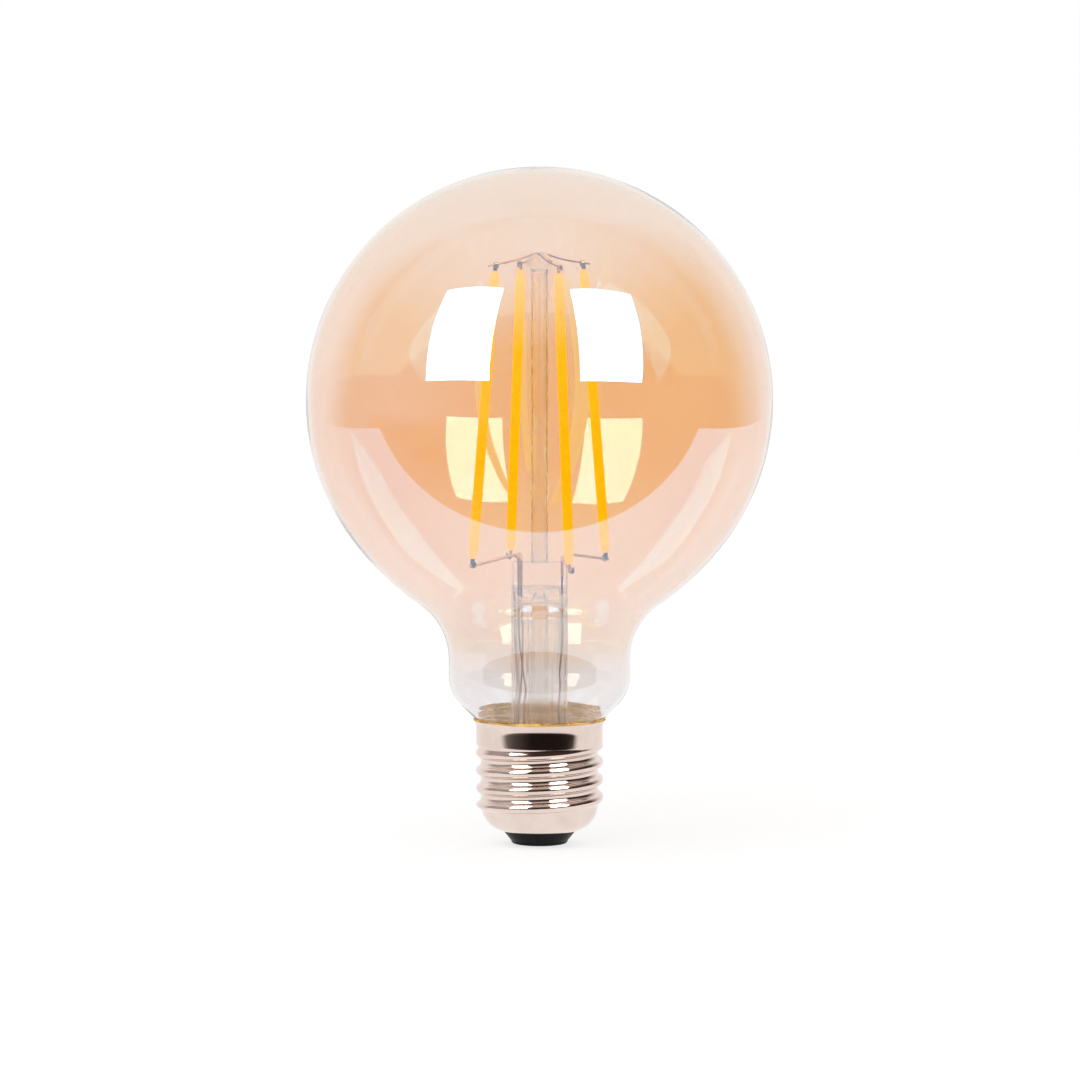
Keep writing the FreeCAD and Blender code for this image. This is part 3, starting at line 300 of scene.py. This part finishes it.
AMBER = glass("amber_glass",
              [(0.06, (0.91, 0.885, 0.885)), (0.10, (0.92, 0.865, 0.845)), (0.14, (0.93, 0.83, 0.745)),
               (0.24, (0.95, 0.815, 0.70)), (0.5, (0.96, 0.81, 0.67)), (0.8, (0.955, 0.83, 0.69)),
               (1.0, (0.94, 0.85, 0.75))],
              (26.0, 138.4), 3.1, 0.00002,
              [(0.10, (0.20, 0.22, 0.24)), (0.15, (0.12, 0.32, 0.50)), (0.22, (0.07, 0.43, 0.85))])
CLEAR = glass("clear_glass", [(0.0, (0.996, 0.994, 0.992)), (1.0, (0.998, 0.996, 0.994))],
              (18.0, 121.0), 1.42, 0.000004, straight=0.45)
POLE_GLASS = glass("pole_glass", [(0.0, (0.99, 0.98, 0.97)), (1.0, (0.995, 0.985, 0.975))],
                   (18.0, 121.0), 1.46, 0.000006, straight=0.2)
NICKEL_CAP = metal("nickel_cap", (0.86, 0.72, 0.65), (0.80, 0.66, 0.59), 0.09, 2600.0, (1, 1, 6), 0.000005)
NICKEL_WIRE = metal("nickel_wire", (0.60, 0.40, 0.20), (0.44, 0.27, 0.13), 0.34, 5000.0)
NICKEL_LEAD = metal("nickel_lead", (0.88, 0.72, 0.50), (0.72, 0.56, 0.37), 0.38, 5000.0)
TINNED_WIRE = metal("tinned_wire", (0.75, 0.74, 0.72), (0.62, 0.61, 0.59), 0.3, 5000.0)
TIN = metal("tin", (0.74, 0.73, 0.71), (0.6, 0.59, 0.57), 0.32, 1800.0, (1, 1, 1), 0.00004)
CLIP_METAL = metal("clip_metal", (0.80, 0.64, 0.44), (0.5, 0.39, 0.26), 0.3, 4000.0)
SEAL_WIRE = metal("seal_wire", (0.55, 0.2, 0.1), (0.4, 0.13, 0.07), 0.35, 5000.0)
COPPER = metal("copper", (0.36, 0.19, 0.12), (0.22, 0.11, 0.07), 0.36, 5000.0)
# painted light: the phosphor glows at 0.8 in its own yellow, which lifts the filaments inside the glass
PHOSPHOR = coated("phosphor", (1.0, 0.64, 0.004), (1.0, 0.58, 0.002), 0.55, 900.0, 0.00003, 0.1, 0.8)
STRIP = coated("strip_ceramic", (0.86, 0.85, 0.8), (0.78, 0.77, 0.73), 0.5, 2500.0, 0.00001)
# painted light: the cement glows at 0.45 in its own colour, which lifts it where little light reaches
# behind the glass
CEMENT = coated("cement", (0.80, 0.51, 0.16), (0.30, 0.15, 0.04), 0.8, 700.0, 0.0001, 0.3, 0.45,
                (0.4, 0.4, 6))
BLACK_GLASS = coated("black_glass", (0.006, 0.006, 0.007), (0.012, 0.011, 0.013), 0.34, 700.0,
                     0.00003, 0.06)
CHIP_RESIN = coated("chip_resin", (0.02, 0.02, 0.022), (0.03, 0.03, 0.032), 0.6, 6000.0, 0.00001)
RESISTOR_COAT = coated("resistor_coat", (0.24, 0.34, 0.28), (0.2, 0.28, 0.24), 0.45, 2000.0, 0.00002)
CAPACITOR_CAN = coated("capacitor_can", (0.03, 0.035, 0.05), (0.04, 0.045, 0.06), 0.35, 1200.0, 0.00001)
BOARD = coated("board", (0.62, 0.55, 0.32), (0.55, 0.48, 0.28), 0.5, 2500.0, 0.00002)

BY_SLOT = {
    "amber_glass": AMBER, "clear_glass": CLEAR, "nickel_cap": NICKEL_CAP, "nickel_wire": NICKEL_WIRE,
    "tinned_wire": TINNED_WIRE, "tin": TIN, "clip_metal": CLIP_METAL, "seal_wire": SEAL_WIRE,
    "copper": COPPER, "phosphor": PHOSPHOR, "strip_ceramic": STRIP, "cement": CEMENT,
    "black_glass": BLACK_GLASS, "chip_resin": CHIP_RESIN, "resistor_coat": RESISTOR_COAT,
    "capacitor_can": CAPACITOR_CAN, "board": BOARD,
}
PALE_LEADS = ("inner_lead_left_a", "inner_lead_left_b", "inner_lead_right", "cross_arm_right")

for part in frame["record"]["subparts"]:
    dress(NODES[part["node"]], BY_SLOT[part["material_slot"]])
for name in PALE_LEADS:
    dress(NODES[name], NICKEL_LEAD)


# the envelope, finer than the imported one

GLOBE_RADIUS = 47.48
GLOBE_MIDDLE = 90.9
SHOULDER_DROP = 38.0
SHOULDER_RADIUS = 60.0
NECK_FILLET = 14.0
NECK_RADIUS = 18.5
NECK_FOOT = 34.7
NECK_TURN = 8.4
SEAT_ANGLE = 45
TAIL_FILLET = 2.0
TAIL_RADIUS = 11.2
TAIL_BAND = 1.5
TAIL_END = 19.2
GLASS_WALL = 0.8


def globe_curve():
    """The envelope's outer curve from the top of the globe down to the tail's end."""
    drop = math.radians(SHOULDER_DROP)
    step_in = GLOBE_RADIUS - SHOULDER_RADIUS
    shoulder = (step_in * math.cos(drop), GLOBE_MIDDLE - step_in * math.sin(drop))
    across = NECK_RADIUS + NECK_FILLET - shoulder[0]
    fall = math.sqrt((SHOULDER_RADIUS + NECK_FILLET) ** 2 - across ** 2)
    fillet = (NECK_RADIUS + NECK_FILLET, shoulder[1] - fall)
    lean = math.degrees(math.atan2(fall, across))
    knuckle = arc((NECK_RADIUS - NECK_TURN, NECK_FOOT), NECK_TURN, 0, -SEAT_ANGLE, 14)
    seat = math.radians(SEAT_ANGLE)
    foot_radius = TAIL_RADIUS + TAIL_FILLET * (1 - math.cos(seat))
    foot_height = knuckle[-1][1] - (knuckle[-1][0] - foot_radius) * math.tan(seat)
    tail = (TAIL_RADIUS + TAIL_FILLET, foot_height - TAIL_FILLET * math.sin(seat))
    curve = arc((0, GLOBE_MIDDLE), GLOBE_RADIUS, 90, -SHOULDER_DROP, 96)
    curve += arc(shoulder, SHOULDER_RADIUS, -SHOULDER_DROP, -lean, 16)[1:]
    curve += arc(fillet, NECK_FILLET, 180 - lean, 180, 20)[1:]
    curve += knuckle
    curve += arc(tail, TAIL_FILLET, 180 - SEAT_ANGLE, 180, 6)
    curve += [(TAIL_RADIUS, TAIL_END + TAIL_BAND), (TAIL_RADIUS, TAIL_END)]
    return curve


envelope = lathe("envelope", wall_outline(globe_curve(), GLASS_WALL), 192)
stand_for(envelope, "glass_globe", AMBER)


# the stem's glass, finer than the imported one

STEM_RADIUS = 5.8
STEM_WALL = 0.8
STEM_ROOF = 1.0
FLARE_RADIUS = 12.0
PRESS_FLOOR = 50.2
PRESS_TOP = 57.9
PRESS_SHOULDER = 0.8
PRESS_HALF = 2.3
PRESS_EDGE = 0.45
VENT = ((0, -2.3, 52.3), (2.35, 2.2, 0.95))
DUCT = ((0, 0, 50.2), (1.4, 1.4, 2.1))
EXHAUST_RADIUS = 1.9
EXHAUST_WALL = 0.5
EXHAUST_TIP = 22.7
POLE_RADIUS = 1.8
POLE_WALL = 0.45
BEAD_TOP = 121.0
BEAD_RADIUS = 2.65
BEAD_HALF = 1.95
BEAD_SWEEP = 132
BEAD_STEPS = 21
BEAD_ROOT = (0.1, 0.14)
ROOT_DROP = 0.5
QUARTER = 24
PRESS_ROWS = 14


def build_exhaust():
    bore = EXHAUST_RADIUS - EXHAUST_WALL
    middle = (0, EXHAUST_TIP + EXHAUST_RADIUS)
    outline = arc(middle, EXHAUST_RADIUS, -90, 0, 12) + [(EXHAUST_RADIUS, PRESS_FLOOR), (bore, PRESS_FLOOR)]
    return lathe("fine_exhaust_tube", outline + arc(middle, bore, 0, -90, 10), 64)


def build_pole():
    """The hollow pole with its bead, and a soft root where the bead was melted on."""
    middle = BEAD_TOP - BEAD_HALF
    outline = []
    for step in range(BEAD_STEPS + 1):
        angle = math.radians(90 - BEAD_SWEEP * step / BEAD_STEPS)
        outline.append((BEAD_RADIUS * math.cos(angle), middle + BEAD_HALF * math.sin(angle)))
    foot = outline[-1]
    outline += [(foot[0] - BEAD_ROOT[0], foot[1] - BEAD_ROOT[1]), (POLE_RADIUS, foot[1] - ROOT_DROP),
                (POLE_RADIUS, PRESS_TOP)]
    bore = POLE_RADIUS - POLE_WALL
    outline.append((bore, PRESS_TOP))
    return lathe("fine_pole", outline + arc((0, middle - BEAD_HALF / 2 - bore), bore, 0, 90, 10), 64)


def pinched_ring(mesh, radius, half, height):
    """A circle cut flat at half its depth in front and behind, with as many points whatever the cut."""
    corner = math.asin(min(half / radius, 1.0))
    edge = (radius * math.cos(corner), radius * math.sin(corner))
    quarter = []
    for place in range(QUARTER):
        share = 2 * place / QUARTER
        if share < 1:
            quarter.append((radius * math.cos(corner * share), radius * math.sin(corner * share)))
        else:
            quarter.append((edge[0] * (2 - share), edge[1]))
    points = []
    for turn_x, turn_y in ((1, 1), (-1, 1), (-1, -1), (1, -1)):
        side = [(turn_x * x, turn_y * y) for x, y in quarter]
        if turn_x * turn_y > 0:
            points += side
        else:
            points += [(0.0, turn_y * edge[1])] + side[:0:-1]
    return [mesh.verts.new((x * MM, y * MM, height * MM)) for x, y in points]


def press_half(height):
    """Half the press's thickness at a height: a hollow curve from the tube to the pinched faces."""
    curve = STEM_RADIUS - PRESS_HALF
    rise = PRESS_FLOOR + PRESS_SHOULDER + curve - height
    if rise <= 0:
        return PRESS_HALF
    return STEM_RADIUS - math.sqrt(max(curve ** 2 - rise ** 2, 0))


def cut_out(piece, middle, radii):
    """Take an ellipsoid out of a piece by a modifier, and return the ellipsoid."""
    mesh = bmesh.new()
    bmesh.ops.create_uvsphere(mesh, u_segments=40, v_segments=24, radius=MM)
    bmesh.ops.scale(mesh, vec=radii, verts=mesh.verts)
    bmesh.ops.translate(mesh, vec=Vector(middle) * MM, verts=mesh.verts)
    cutter = finished("cutter", mesh)
    cut = piece.modifiers.new("cut", "BOOLEAN")
    cut.operation = "DIFFERENCE"
    cut.solver = "EXACT"
    cut.object = cutter
    return cutter


def build_stem():
    """The stem tube, its flare on the tail and the press round the wires, with the exhaust hole."""
    bore = STEM_RADIUS - STEM_WALL
    tail_bore = TAIL_RADIUS - GLASS_WALL
    centre_x = STEM_RADIUS + FLARE_RADIUS
    turn = math.degrees(math.acos((centre_x - tail_bore) / FLARE_RADIUS))
    flare = (centre_x, TAIL_END + FLARE_RADIUS * math.sin(math.radians(turn)))
    foot = math.degrees(math.asin((flare[1] - TAIL_END + STEM_WALL) / (FLARE_RADIUS + STEM_WALL)))
    ledge = PRESS_FLOOR + PRESS_SHOULDER
    rings = []
    for angle in (90, 60, 30, 0):
        sink = math.radians(angle)
        rings.append((bore - STEM_ROOF * (1 - math.cos(sink)), None,
                      PRESS_FLOOR - STEM_ROOF * (1 - math.sin(sink))))
    inner_skin = arc(flare, FLARE_RADIUS + STEM_WALL, 180, 180 + foot, 12)
    rings += [(radius, None, height) for radius, height in inner_skin]
    rings += [(TAIL_RADIUS, None, TAIL_END - STEM_WALL), (TAIL_RADIUS, None, TAIL_END)]
    outer_skin = arc(flare, FLARE_RADIUS, 180 + turn, 180, 12)
    rings += [(radius, None, height) for radius, height in outer_skin]
    rings.append((STEM_RADIUS, None, ledge))
    for row in range(1, PRESS_ROWS + 1):
        height = ledge + (STEM_RADIUS - PRESS_HALF) * (row / PRESS_ROWS) ** 2
        rings.append((STEM_RADIUS, press_half(height), height))
    for angle in (0, 22.5, 45, 67.5, 90):
        sink = PRESS_EDGE * (1 - math.cos(math.radians(angle)))
        rings.append((STEM_RADIUS - sink, PRESS_HALF - sink,
                      PRESS_TOP - PRESS_EDGE * (1 - math.sin(math.radians(angle)))))
    mesh = bmesh.new()
    loops = [pinched_ring(mesh, radius, half or radius, height) for radius, half, height in rings]
    for lower, upper in zip(loops, loops[1:]):
        join_rings(mesh, lower, upper)
    mesh.faces.new(loops[0])
    mesh.faces.new(loops[-1])
    bmesh.ops.remove_doubles(mesh, verts=mesh.verts[:], dist=SAME_PLACE)
    bmesh.ops.dissolve_degenerate(mesh, edges=mesh.edges[:], dist=SAME_PLACE)
    blank = finished("stem_blank", mesh)
    cutters = [cut_out(blank, middle, radii) for middle, radii in (VENT, DUCT)]
    whole = bpy.data.meshes.new_from_object(blank.evaluated_get(bpy.context.evaluated_depsgraph_get()))
    for item in [blank] + cutters:
        bpy.data.objects.remove(item)
    whole.set_sharp_from_angle(angle=math.radians(35))
    return placed("fine_stem", whole)


stand_for(build_exhaust(), "exhaust_tube", CLEAR)
stand_for(build_pole(), "centre_pole", POLE_GLASS)
stand_for(build_stem(), "stem_flare", CLEAR)


# the two bare wires over the bead

TOP_WIRE_RADIUS = 0.17
BEND_REACH = 2.9
APEX_REACH = 1.6
# for each wire: its turn round Z in degrees, its reach, and its heights at the end, the bend and the apex
TOP_WIRES = {"top_wire_outer": (25.7, 11.4, 118.45, 120.15, 120.6),
             "top_wire_inner": (115.7, 10.4, 118.2, 119.6, 119.85)}


def drawn_wire(name, points, radius):
    """A round wire along a smooth line through the neighbourhood of its points."""
    line = bpy.data.curves.new(name, "CURVE")
    line.dimensions = "3D"
    line.bevel_depth = radius * MM
    line.bevel_resolution = 5
    line.use_fill_caps = True
    spline = line.splines.new("NURBS")
    spline.points.add(len(points) - 1)
    for knot, point in zip(spline.points, points):
        knot.co = (*(Vector(point) * MM), 1.0)
    spline.order_u = 3
    spline.use_endpoint_u = True
    spline.resolution_u = 10
    drawing = placed(name + "_line", line)
    data = bpy.data.meshes.new_from_object(drawing)
    bpy.data.objects.remove(drawing)
    for polygon in data.polygons:
        polygon.use_smooth = True
    return placed("fine_" + name, data)


for name, (turn, reach, end_height, bend_height, apex) in TOP_WIRES.items():
    half = [(reach, end_height), (reach / 2, (end_height + bend_height) / 2), (BEND_REACH, bend_height),
            (APEX_REACH, apex)]
    places = half + [(0.0, apex)] + [(-distance, height) for distance, height in half[::-1]]
    aim = math.radians(turn)
    points = [(distance * math.cos(aim), distance * math.sin(aim), height) for distance, height in places]
    stand_for(drawn_wire(name, points, TOP_WIRE_RADIUS), name, NICKEL_WIRE)


# the cement between glass and cap, with the ragged skirt that crept up the glass

CEMENT_OUTLINE = [(11.25, 21.8), (11.25, 23.1), (11.47, 24.0)]
CEMENT_RIM = [(13.24, 25.66), (12.9, 25.1), (12.64, 24.3), (12.62, 21.8)]
SLOPE_FOOT = (11.786, 24.506)
CEMENT_PLAY = 0.03
SKIRT_TOP = 26.15
SKIRT_SWAY = 0.5
SWAY_WAVES = 2.5
SKIRT_ROUGHNESS = 0.3
ROUGH_WAVES = 14
SKIRT_ROWS = (0.05, 0.4, 0.7, 1.0)
LIP_OUTSIDE = (0.12, -0.03)
LIP_INSIDE = (-0.45, -0.85)
CEMENT_SEGMENTS = 240


def build_cement():
    mesh = bmesh.new()
    columns = []
    for place in range(CEMENT_SEGMENTS):
        angle = 2 * math.pi * place / CEMENT_SEGMENTS
        around = Vector((math.cos(angle), math.sin(angle), 0))
        sway = SKIRT_SWAY * noise.noise(around * SWAY_WAVES)
        rough = SKIRT_ROUGHNESS * noise.noise(around * ROUGH_WAVES)
        rise = SKIRT_TOP + sway + rough - SLOPE_FOOT[1]
        skirt = [(SLOPE_FOOT[0] + rise * share + CEMENT_PLAY, SLOPE_FOOT[1] + rise * share)
                 for share in SKIRT_ROWS]
        edge = skirt[-1]
        lip = [(edge[0] + out, edge[1] + up) for out, up in (LIP_OUTSIDE, LIP_INSIDE)]
        columns.append(CEMENT_OUTLINE + skirt + lip + CEMENT_RIM)
    rings = [turned_ring(mesh, loop) for loop in zip(*columns)]
    for lower, upper in zip(rings, rings[1:] + rings[:1]):
        join_rings(mesh, lower, upper)
    return finished("ragged_cement", mesh, 60)


stand_for(build_cement(), "cement_ring", CEMENT)


# the screw cap with its rolled thread

RIM_TOP = 25.7
RIM_RADIUS = 13.6
RIM_FLARE = 2.6
COLLAR_RADIUS = 12.95
CREST_RADIUS = 13.025
ROOT_RADIUS = 12.0
PITCH = 3.629
CREST_AT_X = 17.0
THREAD_TOP = 20.9
FADE = 1.7
CAP_WALL = 0.3
FOOT_RADIUS = 11.7
DOME_CENTRE = (6.7, 8.02)
DOME_RADIUS = 5.2
LIP_RADIUS = 7.6
LIP_ROWS = 12
CAP_ROWS = 150
CAP_SEGMENTS = 144
FOOT_HEIGHT = DOME_CENTRE[1] - math.sqrt(DOME_RADIUS ** 2 - (FOOT_RADIUS - DOME_CENTRE[0]) ** 2)


def eased(share):
    """A soft step from 0 to 1."""
    share = min(max(share, 0.0), 1.0)
    return share * share * (3 - 2 * share)


def wave_radius(along, inset):
    """Radius of the thread at a distance from a crest: equal arcs for crest and root."""
    quarter = PITCH / 4
    depth = CREST_RADIUS - ROOT_RADIUS
    curve = (quarter ** 2 + (depth / 2) ** 2) / depth
    from_crest = abs((along + 2 * quarter) % PITCH - 2 * quarter)
    if from_crest <= quarter * (curve - inset) / curve:
        return CREST_RADIUS - curve + math.sqrt((curve - inset) ** 2 - from_crest ** 2)
    return ROOT_RADIUS + curve - math.sqrt((curve + inset) ** 2 - (2 * quarter - from_crest) ** 2)


def cap_radius(angle, height, inset):
    """Radius of the cap's sheet: thread, fading to the collar above and the foot below."""
    thread = wave_radius(height - CREST_AT_X - PITCH * angle / 360, inset)
    flare = max(height - (RIM_TOP - RIM_FLARE), 0) / RIM_FLARE
    collar = COLLAR_RADIUS + (RIM_RADIUS - COLLAR_RADIUS) * flare ** 4 - inset
    to_collar = eased((height - THREAD_TOP + FADE) / FADE)
    to_foot = eased((FOOT_HEIGHT + FADE - height) / FADE)
    return thread * (1 - to_collar - to_foot) + collar * to_collar + (FOOT_RADIUS - inset) * to_foot


def cap_skin(inset):
    """Rings from lip to rim, each a list of points."""
    rings = []
    begin = math.acos((LIP_RADIUS - DOME_CENTRE[0]) / DOME_RADIUS)
    end = math.acos((FOOT_RADIUS - DOME_CENTRE[0]) / DOME_RADIUS)
    for row in range(LIP_ROWS):
        angle = begin + (end - begin) * row / LIP_ROWS
        radius = DOME_CENTRE[0] + (DOME_RADIUS - inset) * math.cos(angle)
        height = DOME_CENTRE[1] - (DOME_RADIUS - inset) * math.sin(angle)
        rings.append([(radius, height)] * CAP_SEGMENTS)
    for row in range(CAP_ROWS + 1):
        height = FOOT_HEIGHT + (RIM_TOP - FOOT_HEIGHT) * row / CAP_ROWS
        rings.append([(cap_radius(360 * place / CAP_SEGMENTS, height, inset), height)
                      for place in range(CAP_SEGMENTS)])
    return rings


def build_cap():
    mesh = bmesh.new()
    rings = [turned_ring(mesh, loop) for loop in cap_skin(0.0) + cap_skin(CAP_WALL)[::-1]]
    for lower, upper in zip(rings, rings[1:] + rings[:1]):
        join_rings(mesh, lower, upper)
    return finished("rolled_cap", mesh, 60)


stand_for(build_cap(), "screw_shell", NICKEL_CAP)


# the ground and the light

FLOOR_SIZE = 30.0
WHITE = (1.0, 1.0, 1.0, 1.0)
FLOOR_PAINT = (0.97, 0.97, 0.97, 1.0)
FLOOR_WHITE = 1.015
WHITE_SHARE = 0.72
TABLE_PAINT = (0.95, 0.95, 0.95, 1.0)
TABLE_FRONT = -0.075
FRONT_BLUR = 0.001
TABLE_SIDE = 0.55
SIDE_BLUR = 0.005
SOFTBOX_REACH = 1.1
SOFTBOX_GLOW = 6.0
LIGHT_AIM = Vector((0.0, 0.0, 0.06))

# how bright mirrored rays find the room round the table: a level that holds everywhere, and what each
# component of their direction adds between two of its values
ROOM_LEVEL = 0.04
ROOM_RISE = [("X", -0.2, -1.0, 0.42), ("Y", 0.3, 0.8, 0.9), ("Z", 0.2, 0.48, 0.06), ("Z", 0.48, 0.72, 0.36),
             ("Z", 0.72, 1.0, 0.5)]
ROOM_TONES = [(0.0, (0.02, 0.008, 0.005)), (0.1, (0.085, 0.05, 0.04)), (0.35, (0.31, 0.27, 0.26)),
              (0.95, (0.95, 0.95, 0.95))]

# how strongly the floor past the table shows in mirrored rays: by its distance from the bulb and by its
# place along Y, from the first strength at the first value to the second at the second; the larger holds
BY_DISTANCE = (0.15, 1.2, 0.1, 1.0)
BY_PLACE = (-0.2, 0.05, 0.0, 1.0)


def reflected(tree):
    """1 on rays that were mirrored by glass or metal on their way, 0 on straight and diffuse ones."""
    path = add(tree, "ShaderNodeLightPath")
    bounced = maths(tree, "MINIMUM", path.outputs["Glossy Depth"], 1.0)
    spread = maths(tree, "GREATER_THAN", path.outputs["Diffuse Depth"], 0.5)
    return maths(tree, "SUBTRACT", bounced, spread, clamp=True)


def room_colour(tree, toward):
    """The room's colour in the direction of a vector: brown where it is dark."""
    along = parts_of(tree, toward)
    axis, low, high, rise = ROOM_RISE[0]
    room = map_range(tree, along[axis], low, high, ROOM_LEVEL, ROOM_LEVEL + rise)
    for axis, low, high, rise in ROOM_RISE[1:]:
        room = maths(tree, "ADD", room, map_range(tree, along[axis], low, high, 0.0, rise), clamp=True)
    return ramp_of(tree, room, ROOM_TONES)


def glowing(tree, colour, strength):
    """An emission shader; colour is an output or four numbers, strength an output or a number."""
    glow = add(tree, "ShaderNodeEmission")
    if isinstance(colour, tuple):
        glow.inputs["Color"].default_value = colour
    else:
        tree.links.new(colour, glow.inputs["Color"])
    plug(tree, strength, glow.inputs["Strength"])
    return glow.outputs["Emission"]


def build_floor():
    """A white floor that keeps the lamp's shadow.

    In mirrored rays it is a pale table with the dim room's colours beyond its front edge and its sides.
    """
    data = bpy.data.meshes.new("ground")
    half = FLOOR_SIZE / 2
    data.from_pydata([(-half, -half, 0), (half, -half, 0), (half, half, 0), (-half, half, 0)], [],
                     [(0, 1, 2, 3)])
    ground = placed("ground", data)
    made, tree, shader = material("ground")
    shader.inputs["Base Color"].default_value = FLOOR_PAINT
    shader.inputs["Roughness"].default_value = 0.9
    shader.inputs["Specular IOR Level"].default_value = 0.0
    lit = mixed(tree, WHITE_SHARE, shader.outputs["BSDF"], glowing(tree, WHITE, FLOOR_WHITE))
    place = add(tree, "ShaderNodeNewGeometry").outputs["Position"]
    along = parts_of(tree, place)
    aside = maths(tree, "ABSOLUTE", along["X"])
    between = map_range(tree, aside, TABLE_SIDE - SIDE_BLUR, TABLE_SIDE + SIDE_BLUR, 1.0, 0.0)
    before = map_range(tree, along["Y"], TABLE_FRONT - FRONT_BLUR, TABLE_FRONT + FRONT_BLUR, 0.0, 1.0)
    toward = add(tree, "ShaderNodeVectorMath", operation="NORMALIZE")
    tree.links.new(place, toward.inputs[0])
    away = add(tree, "ShaderNodeVectorMath", operation="LENGTH")
    tree.links.new(place, away.inputs[0])
    strength = maths(tree, "MAXIMUM", map_range(tree, away.outputs["Value"], *BY_DISTANCE),
                     map_range(tree, along["Y"], *BY_PLACE))
    beyond = glowing(tree, room_colour(tree, toward.outputs["Vector"]), strength)
    table = glowing(tree, TABLE_PAINT, 1.0)
    mirrored = mixed(tree, maths(tree, "MULTIPLY", between, before), beyond, table)
    show(tree, mixed(tree, reflected(tree), lit, mirrored))
    dress(ground, made)


def direction(azimuth, elevation):
    """A direction from the bulb: azimuth 0 is the camera's side, positive to its right."""
    across, up = math.radians(azimuth), math.radians(elevation)
    return Vector((math.sin(across) * math.cos(up), -math.cos(across) * math.cos(up), math.sin(up)))


def build_softbox(name, corners):
    """A window-like panel that shows only in mirrored rays; corners are azimuth and elevation."""
    data = bpy.data.meshes.new(name)
    middle = Vector((0, 0, GLOBE_MIDDLE * MM))
    data.from_pydata([tuple(middle + direction(*corner) * SOFTBOX_REACH) for corner in corners], [],
                     [(0, 1, 2, 3)])
    panel = placed(name, data)
    made, tree, shader = material(name)
    tree.nodes.remove(shader)
    clear = add(tree, "ShaderNodeBsdfTransparent").outputs["BSDF"]
    show(tree, mixed(tree, reflected(tree), clear, glowing(tree, WHITE, SOFTBOX_GLOW)))
    dress(panel, made)


def build_world():
    """White all round for what is seen straight or lit, and the dim room in mirrored rays."""
    world = bpy.data.worlds.new("studio")
    bpy.context.scene.world = world
    world.use_nodes = True
    tree = world.node_tree
    toward = add(tree, "ShaderNodeTexCoord").outputs["Generated"]
    seen = add(tree, "ShaderNodeMix", data_type="RGBA")
    tree.links.new(reflected(tree), seen.inputs["Factor"])
    white, room = (socket for socket in seen.inputs if socket.type == "RGBA")
    white.default_value = WHITE
    tree.links.new(room_colour(tree, toward), room)
    colour = next(socket for socket in seen.outputs if socket.type == "RGBA")
    tree.links.new(colour, tree.nodes["Background"].inputs["Color"])


def build_lamp(name, azimuth, elevation, reach, size, watts):
    """A soft area lamp that faces the bulb and isn't seen in mirrored rays."""
    light = bpy.data.lights.new(name, "AREA")
    light.energy = watts
    light.size = size
    lamp = placed(name, light)
    lamp.location = LIGHT_AIM + direction(azimuth, elevation) * reach
    lamp.rotation_euler = (LIGHT_AIM - lamp.location).to_track_quat("-Z", "Y").to_euler()
    lamp.visible_glossy = False
    lamp.visible_transmission = False


build_floor()
build_world()
build_softbox("left_softbox", [(-68.5, 49.0), (-28.8, 57.9), (-24.5, 12.7), (-57.0, 10.4)])
build_softbox("right_softbox", [(24.5, 57.7), (65.6, 47.5), (50.9, 10.1), (19.9, 12.9)])
build_lamp("key", azimuth=-35, elevation=55, reach=1.6, size=0.9, watts=6.0)


# the camera

DISTANCE = 1.35
FRAME_WIDTH = 0.2200
LOOK_DOWN = 5.3
LOOK_AT = Vector((0.0001, 0.0, 0.0624))


def build_camera():
    data = bpy.data.cameras.new("camera")
    data.sensor_width = 36.0
    data.lens = data.sensor_width * DISTANCE / FRAME_WIDTH
    data.clip_start = 0.05
    data.clip_end = 60.0
    camera = placed("camera", data)
    camera.location = LOOK_AT + direction(0, LOOK_DOWN) * DISTANCE
    camera.rotation_euler = (LOOK_AT - camera.location).to_track_quat("-Z", "Y").to_euler()
    bpy.context.scene.camera = camera


build_camera()
bpy.context.scene.view_settings.view_transform = "Standard"
cycles = bpy.context.scene.cycles
cycles.max_bounces = 32
cycles.transmission_bounces = 32
cycles.glossy_bounces = 8
cycles.transparent_max_bounces = 32
